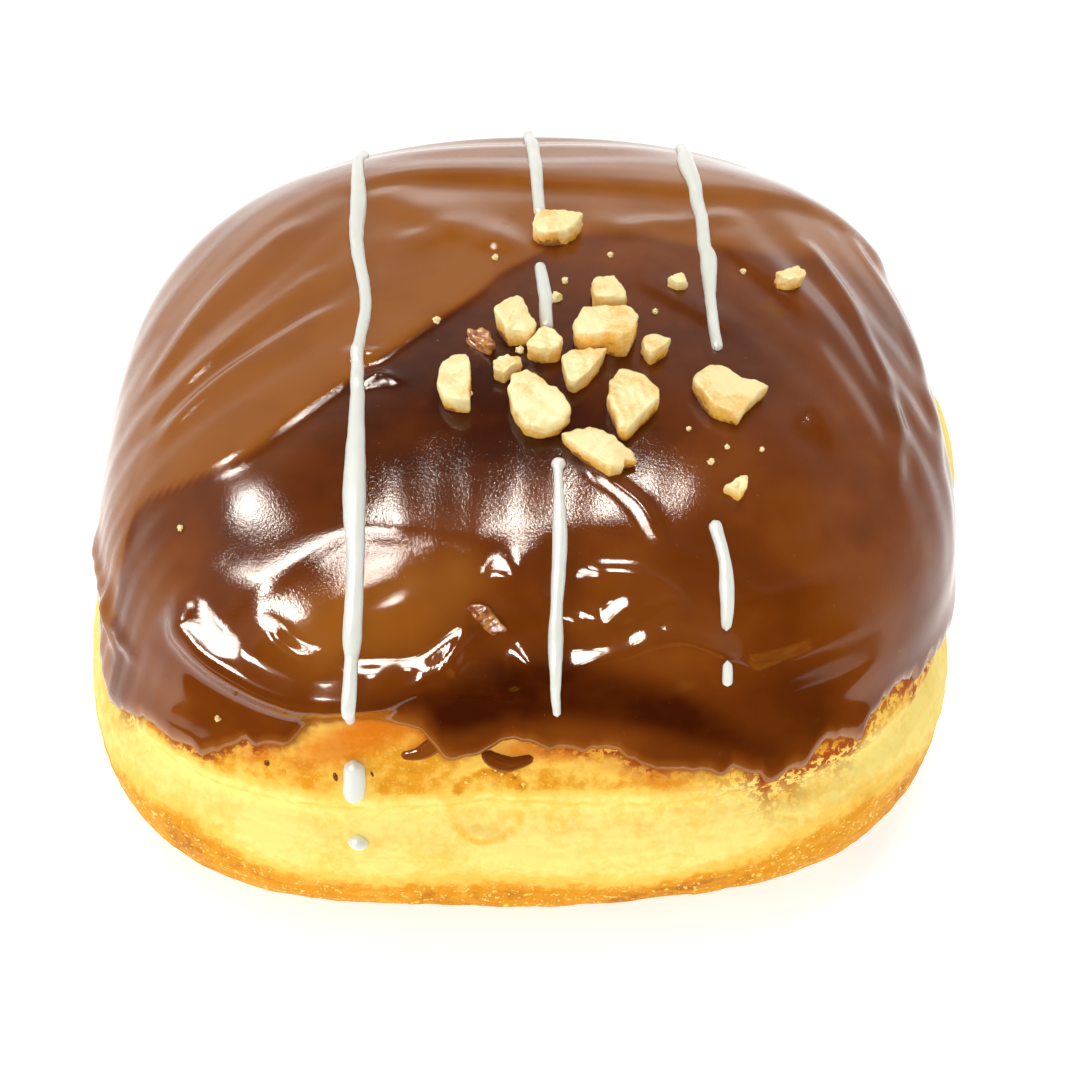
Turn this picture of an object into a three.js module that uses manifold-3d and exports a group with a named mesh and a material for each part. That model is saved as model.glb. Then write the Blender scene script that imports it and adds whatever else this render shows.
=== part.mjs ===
// A square filled doughnut: a fried dough pillow, a cap of chocolate icing with three white drizzle
// lines, and chopped nuts. Millimetres, +Z up, the front towards -Y, standing on its flat base.
//
// Every place on the doughnut is given on its skin, as if the skin were peeled off and laid flat:
// [right, back] in millimetres from the crown, so [0, -50] is 50 mm down the skin towards the front.
import * as THREE from "three";
import { mergeVertices } from "three/addons/utils/BufferGeometryUtils.js";
import Module from "manifold-3d";

const wasm = await Module();
wasm.setup();

// ---------------------------------------------------------------- driving dimensions

const HALF_WIDTH = 45; // centre to side
const HALF_DEPTH = 44; // centre to front
const SQUARENESS = 2.9; // power of the superellipse that the plan follows
const CROWN_HEIGHT = 45.2; // the dough's own, without the icing
const WAIST_HEIGHT = 16; // the crease between the browned cap and the pale belt
const CROWN_LEAN = [2.0, 1.8]; // how far the crown sits right of and behind the middle

// The side profile from the crown to the middle of the base: [share of the plan radius, height].
const PROFILE = [
  [0, CROWN_HEIGHT],
  [0.24, 44.8],
  [0.47, 43.4],
  [0.69, 40.9],
  [0.84, 37.0],
  [0.92, 33.0],
  [0.955, 28.6],
  [0.969, 24.2],
  [0.988, 20.2],
  [0.99, 17.8],
  [0.977, WAIST_HEIGHT],
  [1.002, 13.2],
  [1.015, 10.2],
  [1.0, 5.8],
  [0.963, 2.2],
  [0.88, 0.5],
  [0.78, 0],
  [0, 0],
];

// The plan is a little uneven: each lobe count adds these shares of the radius.
const PLAN_WOBBLE = [
  { lobes: 1, cosine: -0.012, sine: 0.038 },
  { lobes: 2, cosine: -0.016, sine: 0.004 },
  { lobes: 3, cosine: 0.004, sine: -0.028 },
  { lobes: 4, cosine: 0.006, sine: -0.008 },
];
// The side swells and dips in millimetres.
const SIDE_LUMPS = [
  { turns: 4, height: 0.3, phase: 0.7, reach: 0.05 },
  { turns: 7, height: 0.2, phase: 2.1, reach: 0.11 },
  { turns: 11, height: 0.12, phase: 4.0, reach: 0.17 },
];
// The lower half is squarer than the cap at its back right corner: the turn and how far round it
// reaches, in radians, how much wider it is there, and the heights between which it swells.
const CORNER = {
  turn: THREE.MathUtils.degToRad(33),
  reach: THREE.MathUtils.degToRad(24),
  share: 0.15,
  above: 22,
  below: 14,
};
const NAVEL = { at: [-4.8, -61.6], radius: 2.6, depth: 0.45 }; // where the filling went in

const COLUMNS = 72; // facets round the doughnut
const ICING_CROWN = 2.2; // top of the icing above the dough, at the crown
const ICING_SIDE = 1.5; // and down the sides
const ICING_RIM = 0.8; // and at its lower edge
const ICING_LIP = 2.4; // how far in from the edge the lip is rounded
const CLEAR = 0.4; // gap left between separate pieces

// The icing's lower edge: [degrees round from the right-hand side, millimetres down the skin].
const ICING_EDGE = [
  [0, 54.5],
  [14, 55.5],
  [28, 54.2],
  [42, 58.5],
  [56, 56.5],
  [72, 59],
  [88, 56.4],
  [104, 59.2],
  [120, 57],
  [134, 60],
  [150, 57],
  [164, 59],
  [180, 56.5],
  [194, 55.2],
  [203, 56],
  [213, 61.2],
  [221, 58.4],
  [229, 58.2],
  [235, 55.2],
  [239, 54.6],
  [243, 51],
  [249, 50.2],
  [254, 50.8],
  [260, 54.9],
  [263, 54.4],
  [267, 52.7],
  [275, 54.2],
  [281, 54.4],
  [288, 57],
  [297, 58],
  [304, 60.2],
  [309, 57.6],
  [314, 58.2],
  [319.5, 55.5],
  [327, 57],
  [338, 58.4],
  [350, 55.8],
];

// Folds where the icing set while it ran, each along a path on the skin. A ridge is raised along the
// path, and a lip steps up on the left-hand side of the path and fades over its reach.
const FOLDS = [
  {
    form: "lip", height: 0.9, width: 0.9, reach: 8,
    path: [
      [-19, 20], [-16.8, 21.2], [-11.5, 22.2], [-4, 21.8], [2, 20.5], [9.8, 19.5], [15.5, 19.5],
      [21.8, 21], [27, 23], [33, 23.2], [39, 20],
    ],
  },
  {
    form: "ridge", height: 0.6, width: 1.9, reach: 0,
    path: [
      [-15.5, 8.9], [-12.5, 10], [-9.5, 10.5], [-6, 10.2],
    ],
  },
  {
    form: "lip", height: 0.9, width: 1, reach: 5,
    path: [
      [-18.5, 21], [-16.8, 19.2], [-13, 14.8], [-8.8, 10.8], [-4.8, 7.8], [-0.2, 8],
    ],
  },
  {
    form: "lip", height: 0.4, width: 0.7, reach: 9,
    path: [
      [-42.5, -25.5], [-40, -22.8], [-37.8, -18.9], [-32.8, -18.8], [-26.8, -17.8], [-22, -14.2],
      [-13, -6.2], [-6.2, 1], [-0.2, 7], [2, 9],
    ],
  },
  {
    form: "lip", height: 0.5, width: 1, reach: 4,
    path: [
      [2, 10.6], [4, 11.3], [6.2, 11.2], [7.8, 10.2], [8.5, 7.2], [9.8, 3.5], [12.2, 1.2],
      [17, -2.5], [20, -5],
    ],
  },
  {
    form: "ridge", height: 0.35, width: 1.4, reach: 0,
    path: [
      [5, 10], [8, 11.2], [10.8, 13], [13.8, 14], [20.8, 18],
    ],
  },
  {
    form: "lip", height: 0.8, width: 0.9, reach: 5,
    path: [
      [14, 12.5], [17.2, 11.2], [21, 8.2], [24.8, 4.8], [26.8, 1.8], [27.5, -2.2], [26.8, -7],
      [25.2, -11.5], [23, -16],
    ],
  },
  {
    form: "lip", height: 0.35, width: 0.9, reach: 4,
    path: [
      [-27.5, -34], [-25.5, -32.5], [-21.5, -30.5], [-17.8, -28.8], [-14.5, -29.8], [-10.5, -31.8],
      [-7.8, -33.2], [-4.8, -34.8], [-1.5, -36.8], [1.2, -39],
    ],
  },
  {
    form: "lip", height: 0.9, width: 0.7, reach: 3.5,
    path: [
      [-6.4, -39.6], [-8.2, -41], [-11, -42], [-13.8, -42], [-18, -40.8], [-20.5, -39],
      [-23.2, -36.8], [-26, -32],
    ],
  },
  {
    form: "ridge", height: 1.9, width: 1.7, reach: 0,
    path: [
      [-34.6, -28.6], [-32.6, -32.2], [-31, -34.9], [-28.7, -37.7], [-26.4, -40], [-24.1, -41.7],
      [-21.5, -43], [-18.2, -44], [-13, -45],
    ],
  },
  {
    form: "ridge", height: 0.9, width: 1, reach: 0,
    path: [
      [-17, -44.6], [-13.8, -44.3], [-11.5, -44], [-8.7, -42.6], [-6.5, -40],
    ],
  },
  {
    form: "ridge", height: 1.2, width: 1.3, reach: 0,
    path: [
      [-12, -44], [-8.5, -44.8], [-5.5, -45.6], [-2.5, -46.5], [1, -47],
    ],
  },
  {
    form: "ridge", height: 1.5, width: 1.6, reach: 0,
    path: [
      [-3.5, -42], [-1, -44.3], [3, -45.3], [7.2, -44], [10.2, -42.6], [12.5, -41.3],
      [15.5, -40.3], [19, -40.2], [23, -40.5],
    ],
  },
  {
    form: "lip", height: 0.9, width: 0.6, reach: 2.5,
    path: [
      [-6.5, -35], [-5, -36.2], [-1.8, -38], [0.8, -39.5], [3, -41],
    ],
  },
  {
    form: "ridge", height: 0.8, width: 1.2, reach: 0,
    path: [
      [0.5, -40.4], [3.5, -40.9], [7, -41], [9, -39.6], [11.2, -38.3], [14, -37.3],
    ],
  },
  {
    form: "lip", height: 0.7, width: 0.7, reach: 4,
    path: [
      [17.5, -37], [13.8, -35.5], [11.2, -34.8], [7.2, -35.2], [2.8, -36],
    ],
  },
  {
    form: "ridge", height: 0.3, width: 0.9, reach: 0,
    path: [
      [5, -22], [6.2, -24.8], [10.2, -28], [12.2, -31], [15, -32], [18, -32.2], [23.2, -34],
    ],
  },
  {
    form: "ridge", height: 0.5, width: 1.2, reach: 0,
    path: [
      [26, 17], [28, 14], [33, 6], [36, -4], [35, -14], [33, -20],
    ],
  },
  {
    form: "ridge", height: 0.5, width: 1.3, reach: 0,
    path: [
      [31, 25], [34, 20], [41, 10], [43, -3], [42, -12],
    ],
  },
  {
    form: "ridge", height: 0.35, width: 1.3, reach: 0,
    path: [
      [-22, 18], [-33, 9], [-42, -3],
    ],
  },
  {
    form: "ridge", height: 0.3, width: 1.2, reach: 0,
    path: [
      [-20, 9], [-31, 0], [-41, -10],
    ],
  },
  {
    form: "ridge", height: 0.3, width: 1.1, reach: 0,
    path: [
      [-20, 2], [-31, -6], [-38, -13],
    ],
  },
  {
    form: "ridge", height: 0.45, width: 2.2, reach: 0,
    path: [
      [-34, 32], [-14, 39], [6, 38], [26, 35],
    ],
  },
  {
    form: "ridge", height: 0.6, width: 0.9, reach: 0,
    path: [
      [-43, -22], [-45.5, -26], [-46, -31],
    ],
  },
  {
    form: "ridge", height: 0.6, width: 1, reach: 0,
    path: [
      [-41, -33], [-44.5, -27], [-47.5, -20], [-50, -12],
    ],
  },
  {
    form: "ridge", height: 0.8, width: 0.7, reach: 0,
    path: [
      [-19.5, -5.4], [-16.6, -7.4], [-13.4, -6.4],
    ],
  },
  {
    form: "ridge", height: 0.8, width: 0.7, reach: 0,
    path: [
      [-18.2, -11.6], [-14.8, -10], [-11.6, -11],
    ],
  },
];
const FOLD_FADE = 4.5; // millimetres of a path over which each end of a fold dies away
const FOLD_SAMPLES = 20;

// White icing drizzled over the top: each string of points is [right, back, width].
const DRIZZLE = [
  [
    [-18.4, 53, 0.9], [-17.9, 40, 1.3], [-17.7, 29, 1.1], [-17.2, 18.2, 1.8], [-17.6, 9.9, 1.4],
    [-17.6, -3, 1.2], [-16.4, -13, 1.5], [-16.8, -23.7, 2.3], [-17.1, -31.6, 1.7], [-17.9, -38.2, 1.9],
    [-18.2, -40.2, 1.3], [-18.7, -43.2, 1.4], [-19.8, -46.2, 0.9],
  ],
  [
    [-0.8, 52, 0.9], [-0.6, 38, 1.3], [-0.3, 24.8, 1.4], [0, 14.6, 1.2],
  ],
  [
    [-0.1, 5.6, 1.2], [0.4, 0, 1.4], [0.6, -5.4, 1.3],
  ],
  [
    [1.9, -23.7, 1.4], [1.9, -24.6, 1.4], [1.9, -25.8, 0.9], [2.2, -33.3, 1.5], [2.1, -39.3, 1.2],
    [2.2, -42.4, 1.5], [2.4, -46.1, 1], [3.1, -49.4, 0.8],
  ],
  [
    [15.6, 51, 0.9], [15.2, 36, 1.2], [14.6, 26.1, 1.9], [15.1, 19.6, 1.5], [16, 11.3, 1.4],
    [17, 7.9, 1.8], [17.6, 1.4, 1.2], [17, -6.4, 1.2],
  ],
  [
    [16.8, -27.8, 1.3], [18.1, -31.3, 1.2], [18.9, -34.8, 1.5], [19.4, -38, 0.9],
  ],
  [
    [19.9, -40.4, 0.9], [21, -42.6, 1],
  ],
];
// Drops of the same icing that fell on the bare dough.
const DRIZZLE_DROPS = [
  [
    [-20.9, -50.8, 2], [-21.3, -53.2, 2.3], [-22.1, -55.4, 2],
  ],
  [
    [-23, -60.2, 2.2], [-23.6, -61.6, 2.4],
  ],
];
const BEAD_SIDES = 6;
const BEAD_STEP = 1.9; // between the rings of a string
const BEAD_TIP = 0.7; // how far an end stands out, as a share of its radius
const BEAD_LIFT = 0.1; // the middle of a string above the icing
const BEAD_LOOK_AHEAD = 0.2; // millimetres ahead that give a string's direction

// Chopped nuts: the place on the skin, the height, the slope of the top towards the right and the
// back, and the outline round that place, anticlockwise from the right-hand side.
const NUT = { color: 0xffe9a3, roughness: 0.6 };
const NUT_SKIN = { color: 0x7a3410, roughness: 0.35 };
const NUTS = [
  {
    name: "nut_large", at: [6, -6.1], height: 3, slope: [0.05, -0.05],
    outline: [
      [3.4, 1.1], [2.8, 2.4], [0.6, 2.3], [-2.2, 2.5], [-2.7, 1.2], [-3.4, -0.2], [-3.2, -1.7],
      [-1.8, -2.3], [0.2, -2.1], [1.2, -2.6], [2.5, -2.4], [2.9, -0.9],
    ],
  },
  {
    name: "nut_fish", at: [17.2, -13], height: 2, slope: [-0.05, 0.05],
    outline: [
      [3.9, 1.2], [3, 1.8], [1.2, 1.6], [-0.2, 3], [-2.2, 3.2], [-3.6, 2.2], [-3.7, 0.9], [-2.8, -0.8],
      [-1.9, -2.4], [0.9, -3.3], [1.7, -1.6], [2.9, 0.2],
    ],
  },
  {
    name: "nut_smooth_wedge", at: [9, -16], height: 2.4, slope: [-0.08, 0.05],
    outline: [
      [2.6, 1.2], [-0.1, 3.8], [-1.4, 4], [-2.4, 2.1], [-2.6, -0.2], [-2, -2.3], [-1.5, -3.9],
      [-0.7, -4], [1.5, -1.3], [2.6, 0.3],
    ],
  },
  {
    name: "nut_two_lobed", at: [-0.2, -17.4], height: 2.4, slope: [0.05, 0.1],
    outline: [
      [2.3, 0.2], [1.9, 1.3], [1.1, 1.3], [-0.1, 2.7], [-1.3, 3.8], [-2.9, 2.7], [-3.2, 1.2],
      [-2.6, -1.5], [-1.4, -3.4], [0.3, -3.8], [2.2, -3.1], [3.2, -1.8],
    ],
  },
  {
    name: "nut_half_kernel", at: [-8, -12.8], height: 2.2, slope: [0.1, 0.05],
    outline: [
      [1.6, -0.4], [1.6, 1.5], [1.2, 3.4], [-0.2, 3.4], [-1.2, 2.4], [-1.7, 0.6], [-1.6, -1],
      [-1, -2.5], [0.2, -3.1], [1.6, -3.3],
    ],
  },
  {
    name: "nut_sliver", at: [6, -23.1], height: 1.9, slope: [0, 0.05],
    outline: [
      [3.6, -0.1], [2.2, 0.9], [0.8, 1.9], [-0.8, 2.5], [-2.4, 2.5], [-3.8, 2.1], [-3, 0.9],
      [-1.8, -0.3], [-0.2, -1.5], [1, -2.5], [2.4, -2], [2.5, -1.2], [3.8, -1.1],
    ],
  },
  {
    name: "nut_back", at: [1.7, 11], height: 1.9, slope: [0.1, -0.1],
    outline: [
      [2.7, 0.8], [1.5, 1.4], [0.4, 2], [-0.7, 2.5], [-2, 2.4], [-2.4, 1.4], [-2.7, -1.3],
      [-2.1, -2.2], [-0.7, -2.4], [0.9, -2.2], [1.9, -1.2],
    ],
  },
  {
    name: "nut_peaked", at: [-2.5, -4.7], height: 2.4, slope: [-0.1, 0.1],
    outline: [
      [2.1, -1.3], [1.3, 0.7], [0.9, 2.3], [0.3, 2.9], [-0.8, 2.4], [-1.8, 1.1], [-2.1, 0.2],
      [-1.3, -1.4], [-0.8, -2.4], [0.4, -2.5], [1.4, -2.8],
    ],
  },
  {
    name: "nut_behind", at: [6.9, -0.6], height: 2.2, slope: [0, -0.1],
    outline: [
      [1.8, -0.6], [1.3, 0.9], [0.5, 2.1], [-1.1, 2.1], [-1.9, 1.6], [-1.7, 0.2], [-1.7, -1.6],
      [-0.3, -1.9], [1.4, -1.6],
    ],
  },
  {
    name: "nut_triangle", at: [4.4, -11.9], height: 1.9, slope: [0, 0.1],
    outline: [
      [2.2, 2.2], [0.5, 2.4], [-1.6, 2.1], [-2.2, 1], [-2, -0.6], [-1.7, -2.2], [-0.9, -2.5],
      [0.3, -1.4], [1.4, 0.3],
    ],
  },
  {
    name: "nut_right", at: [10.6, -7.6], height: 1.7, slope: [0.1, 0],
    outline: [
      [1.5, 1], [0.7, 1.5], [-0.5, 1.6], [-1.2, 0.9], [-1.5, 0.3], [-1.3, -0.7], [-0.6, -1.6],
      [0.2, -1], [1.1, 0],
    ],
  },
  {
    name: "nut_middle", at: [0.3, -8.8], height: 2, slope: [0, 0],
    outline: [
      [1.9, -0.2], [0.9, 1], [0.1, 1.8], [-0.7, 0.7], [-1.7, -0.2], [-1.8, -1], [-0.9, -1.6],
      [0.5, -1.8], [1.6, -1.2],
    ],
  },
  {
    name: "nut_paired", at: [-3.3, -11.4], height: 1.5, slope: [0.1, 0],
    outline: [
      [1.4, 0], [1.4, 1.2], [0.7, 1.4], [-0.5, 1], [-1.5, 0.7], [-1.4, -0.9], [-0.4, -1.4], [0.2, -0.7],
    ],
  },
  {
    name: "nut_tooth", at: [18.3, -24], height: 1.4, slope: [0, 0],
    outline: [
      [1.1, 0.3], [1.1, 1], [0.5, 1.2], [-1.1, -0.1], [-0.3, -0.6], [0.4, -1.2], [1.1, -0.3],
    ],
  },
  {
    name: "nut_far_right", at: [25.8, 6.2], height: 1.4, slope: [0.1, 0],
    outline: [
      [1.6, 0.7], [1, 1.2], [0.3, 1], [-0.8, 0.2], [-1.6, -0.4], [-1.2, -1], [-0.2, -1.2], [0.7, -1],
      [1.4, 0],
    ],
  },
  {
    name: "nut_chip", at: [14.1, 3.2], height: 1.1, slope: [0, 0],
    outline: [
      [1.1, 0], [0.5, 1], [-0.5, 0.5], [-1.1, -0.4], [-0.1, -1], [0.8, -0.6],
    ],
  },
  {
    name: "skin_flake_back", at: [-5.6, -6.5], height: 1, slope: [-0.1, 0], skin: true,
    outline: [
      [1.6, 0.1], [0.6, 1.5], [-0.6, 1.1], [-1.6, 0.3], [-0.4, -0.5], [0.9, -1.5], [1.6, -0.6],
    ],
  },
  {
    name: "skin_flake_front", at: [-5.2, -40.1], height: 1.1, slope: [0.1, 0], skin: true,
    outline: [
      [1.5, -0.9], [0.9, 0.2], [0.3, 1], [-0.9, 1.3], [-1.6, 1], [-1.2, 0.1], [-0.6, -0.9], [0.4, -1.3],
    ],
  },
];
// A nut's own profile from its underside to its top: [share of the radius, share of the height].
const NUT_PROFILE = [[0, 0], [0.84, 0.02], [1, 0.42], [0.7, 0.92], [0, 1]];
const NUT_BED = 0.5; // how deep the nuts sit in the icing before they are cut clear of it

// ---------------------------------------------------------------- the doughnut's skin

const profileCurve = new THREE.SplineCurve(
  PROFILE.map(([share, z]) => new THREE.Vector2(share * HALF_WIDTH, z)),
);
profileCurve.arcLengthDivisions = 1600;
const SKIN_LENGTH = profileCurve.getLength(); // crown to the middle of the base
const NORMAL_STEP = 0.3; // millimetres down the skin between the points that a normal is taken from
const NORMAL_TURN = 0.01; // and radians round the doughnut

function planRadius(turn) {
  const across = Math.abs(Math.cos(turn) / HALF_WIDTH) ** SQUARENESS;
  const along = Math.abs(Math.sin(turn) / HALF_DEPTH) ** SQUARENESS;
  let share = 1;
  for (const { lobes, cosine, sine } of PLAN_WOBBLE) {
    share += cosine * Math.cos(lobes * turn) + sine * Math.sin(lobes * turn);
  }
  return (across + along) ** (-1 / SQUARENESS) * share;
}

// The smooth pillow at a turn round the doughnut and a fall down its skin.
function pillowPoint(turn, fall) {
  const at = profileCurve.getPointAt(THREE.MathUtils.clamp(fall / SKIN_LENGTH, 0, 1));
  const lower = THREE.MathUtils.smoothstep(-at.y, -CORNER.above, -CORNER.below);
  const near = Math.exp(((Math.cos(turn - CORNER.turn) - 1) * 2) / CORNER.reach ** 2);
  const radius = ((planRadius(turn) * at.x) / HALF_WIDTH) * (1 + CORNER.share * near * lower);
  const lean = THREE.MathUtils.clamp((at.y - WAIST_HEIGHT) / (CROWN_HEIGHT - WAIST_HEIGHT), 0, 1);
  const x = radius * Math.cos(turn) + CROWN_LEAN[0] * lean;
  const y = radius * Math.sin(turn) + CROWN_LEAN[1] * lean;
  return new THREE.Vector3(x, y, at.y);
}

function skinNormal(turn, fall) {
  const at = THREE.MathUtils.clamp(fall, 1.5 * NORMAL_STEP, SKIN_LENGTH - 1.5 * NORMAL_STEP);
  const down = pillowPoint(turn, at + NORMAL_STEP).sub(pillowPoint(turn, at - NORMAL_STEP));
  const round = pillowPoint(turn + NORMAL_TURN, at).sub(pillowPoint(turn - NORMAL_TURN, at));
  return down.cross(round).normalize();
}

function skinPlace([right, back]) {
  return { turn: Math.atan2(back, right), fall: Math.hypot(right, back) };
}

// A point raised off the smooth pillow.
function raised(turn, fall, height) {
  return pillowPoint(turn, fall).addScaledVector(skinNormal(turn, fall), height);
}

// ---------------------------------------------------------------- dough

function doughRelief(turn, fall) {
  const onSide = Math.sin((Math.PI * fall) / SKIN_LENGTH) ** 2;
  let height = 0;
  for (const lump of SIDE_LUMPS) {
    height += lump.height * Math.cos(lump.turns * turn + lump.phase + lump.reach * fall) * onSide;
  }
  const far = Math.hypot(fall * Math.cos(turn) - NAVEL.at[0], fall * Math.sin(turn) - NAVEL.at[1]);
  return height - NAVEL.depth * Math.exp(-((far / NAVEL.radius) ** 4));
}

function doughPoint(turn, fall) {
  const point = raised(turn, fall, doughRelief(turn, fall));
  point.z = fall > SKIN_LENGTH - BASE_REACH ? 0 : Math.max(point.z, 0);
  return point;
}

// ---------------------------------------------------------------- icing

function icingEdge(turn) {
  const degrees = THREE.MathUtils.euclideanModulo(THREE.MathUtils.radToDeg(turn), 360);
  const next = ICING_EDGE.findIndex(([at]) => at > degrees);
  const [toAngle, toFall] = next < 0 ? [360, ICING_EDGE[0][1]] : ICING_EDGE[next];
  const [fromAngle, fromFall] = ICING_EDGE[next < 0 ? ICING_EDGE.length - 1 : next - 1];
  const share = THREE.MathUtils.smoothstep(degrees, fromAngle, toAngle);
  return fromFall + (toFall - fromFall) * share;
}

const foldLines = FOLDS.map((fold) => ({
  ...fold,
  line: new THREE.SplineCurve(fold.path.map((place) => new THREE.Vector2(...place))).getPoints(FOLD_SAMPLES),
}));

// The nearest place on a fold's line: its signed distance, left of the line positive, and how far it
// is from the line's nearer end.
function nearestOnLine(line, right, back) {
  let best = { far: Infinity };
  let length = 0;
  for (let i = 0; i + 1 < line.length; i++) {
    const ahead = [line[i + 1].x - line[i].x, line[i + 1].y - line[i].y];
    const stretch = Math.hypot(...ahead);
    const off = [right - line[i].x, back - line[i].y];
    const share = (off[0] * ahead[0] + off[1] * ahead[1]) / stretch ** 2;
    const along = THREE.MathUtils.clamp(share, 0, 1);
    const far = Math.hypot(off[0] - along * ahead[0], off[1] - along * ahead[1]);
    if (far < best.far) {
      const side = ahead[0] * off[1] - ahead[1] * off[0] >= 0 ? 1 : -1;
      best = { far, signed: side * far, passed: length + along * stretch };
    }
    length += stretch;
  }
  return { signed: best.signed, fromEnd: Math.min(best.passed, length - best.passed) };
}

function foldHeight({ form, height, width, reach, line }, right, back) {
  const { signed, fromEnd } = nearestOnLine(line, right, back);
  const faded = height * THREE.MathUtils.smoothstep(fromEnd, 0, FOLD_FADE);
  if (form === "ridge") return faded * Math.exp(-((signed / width) ** 2));
  const step = 0.5 + 0.5 * Math.tanh(signed / width);
  return faded * step * Math.exp(-((Math.max(signed, 0) / reach) ** 2));
}

// How far the top of the icing stands off the dough's skin.
function icingTop(turn, fall) {
  const inward = Math.max(icingEdge(turn) - fall, 0);
  const body = THREE.MathUtils.lerp(ICING_CROWN, ICING_SIDE, fall / icingEdge(turn));
  const lip = Math.sqrt(1 - (1 - Math.min(inward / ICING_LIP, 1)) ** 2);
  const [right, back] = [fall * Math.cos(turn), fall * Math.sin(turn)];
  const relief = foldLines.reduce((sum, fold) => sum + foldHeight(fold, right, back), 0);
  return ICING_RIM + (body - ICING_RIM) * lip + relief * Math.min(inward / ICING_LIP, 1);
}

// ---------------------------------------------------------------- building solids

// A closed skin of rings round the doughnut: a lathe's faces, with each corner put where place says.
function ringSkin(rings, columns, place) {
  const isPole = (ring) => ring === 0 || ring === rings - 1;
  const profile = Array.from({ length: rings }, (_, i) => new THREE.Vector2(isPole(i) ? 0 : 1, rings - i));
  const geometry = new THREE.LatheGeometry(profile, columns);
  const position = geometry.getAttribute("position");
  for (let column = 0; column <= columns; column++) {
    const turn = ((column % columns) / columns) * 2 * Math.PI;
    for (let ring = 0; ring < rings; ring++) {
      const point = isPole(ring) ? place(0, ring, 0) : place(turn, ring, column % columns);
      position.setXYZ(column * rings + ring, point.x, point.y, point.z);
    }
  }
  return solidFrom(geometry);
}

// A manifold-3d solid from a geometry, without its doubled corners or the flat faces at its poles.
function solidFrom(geometry) {
  const bare = new THREE.BufferGeometry().setAttribute("position", geometry.getAttribute("position"));
  bare.setIndex(geometry.index);
  const merged = mergeVertices(bare, 1e-4);
  const corners = merged.index.array;
  const faces = [];
  for (let i = 0; i < corners.length; i += 3) {
    const [a, b, c] = [corners[i], corners[i + 1], corners[i + 2]];
    if (a !== b && b !== c && c !== a) faces.push(a, b, c);
  }
  const vertProperties = merged.attributes.position.array;
  const make = (triVerts) => new wasm.Manifold(new wasm.Mesh({ numProp: 3, vertProperties, triVerts }));
  const solid = make(new Uint32Array(faces));
  if (solid.volume() > 0) return solid;
  const turned = [];
  for (let i = 0; i < faces.length; i += 3) turned.push(faces[i], faces[i + 2], faces[i + 1]);
  return make(new Uint32Array(turned));
}

function largestBody(solid) {
  return solid.decompose().sort((a, b) => b.volume() - a.volume())[0];
}

function meshFrom(name, solid, { color, roughness }) {
  const { vertProperties, triVerts } = solid.getMesh();
  const geometry = new THREE.BufferGeometry();
  geometry.setAttribute("position", new THREE.BufferAttribute(new Float32Array(vertProperties), 3));
  geometry.setIndex(new THREE.BufferAttribute(new Uint32Array(triVerts), 1));
  geometry.computeVertexNormals();
  const mesh = new THREE.Mesh(geometry, new THREE.MeshStandardMaterial({ color, roughness, metalness: 0 }));
  mesh.name = name;
  return mesh;
}

// A string of icing: a lathe turned to the string's widths, then laid along its points on the skin.
function beadString(points, standOff, grow = 0) {
  const corners = points.map(([right, back, width]) => new THREE.Vector3(right, back, width));
  const route = new THREE.CatmullRomCurve3(corners, false, "centripetal");
  const stations = Math.max(4, Math.ceil(route.getLength() / BEAD_STEP));
  const onSkin = (place) => {
    const { turn, fall } = skinPlace(place);
    return { point: raised(turn, fall, standOff(turn, fall)), normal: skinNormal(turn, fall) };
  };
  return ringSkin(stations + 1, BEAD_SIDES, (turn, station) => {
    const share = THREE.MathUtils.clamp((station - 1) / (stations - 2), 0, 1);
    const here = route.getPointAt(share);
    const next = here.clone().addScaledVector(route.getTangentAt(share), BEAD_LOOK_AHEAD);
    const radius = here.z / 2 + grow;
    const { point, normal } = onSkin([here.x, here.y]);
    const forward = onSkin([next.x, next.y]).point.sub(point).normalize();
    if (station === 0) return point.addScaledVector(forward, -BEAD_TIP * radius);
    if (station === stations) return point.addScaledVector(forward, BEAD_TIP * radius);
    const sideways = forward.cross(normal).normalize();
    point.addScaledVector(sideways, radius * Math.cos(turn));
    return point.addScaledVector(normal, radius * Math.sin(turn));
  });
}

// ---------------------------------------------------------------- pieces

// Where the rings lie: millimetres down the dough's skin, and shares of the way to the icing's edge.
const DOUGH_FALLS = [
  0, 9, 18, 26, 33, 38.5, 43, 47, 50.5, 53.5, 56, 58.5, 60.5, 62.4, 64.6, 67.4, 70.8, 74.2, 77.2, 80.2, 83.5,
];
const BASE_REACH = SKIN_LENGTH - DOUGH_FALLS.at(-1) + 0.1; // the flat part of the base, from its middle
const ICING_SHARES = [
  0, 0.06, 0.12, 0.18, 0.24, 0.3, 0.355, 0.41, 0.46, 0.51, 0.56, 0.605, 0.65, 0.69, 0.73, 0.77, 0.81, 0.85,
  0.89, 0.925, 0.955, 0.98, 1,
];
const LINING_SHARES = [1, 0.96, 0.91, 0.86, 0.81, 0.76, 0.7, 0.63, 0.54, 0.42, 0.28, 0.14, 0];
const KEEP_OUT_DEPTH = -3; // how far under the dough's skin the space that nuts stay out of reaches

function makeDough() {
  const falls = [...DOUGH_FALLS, SKIN_LENGTH];
  let dough = ringSkin(falls.length, COLUMNS, (turn, ring) => doughPoint(turn, falls[ring]));
  for (const drop of DRIZZLE_DROPS) dough = dough.add(beadString(drop, doughRelief));
  return dough;
}

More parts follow.
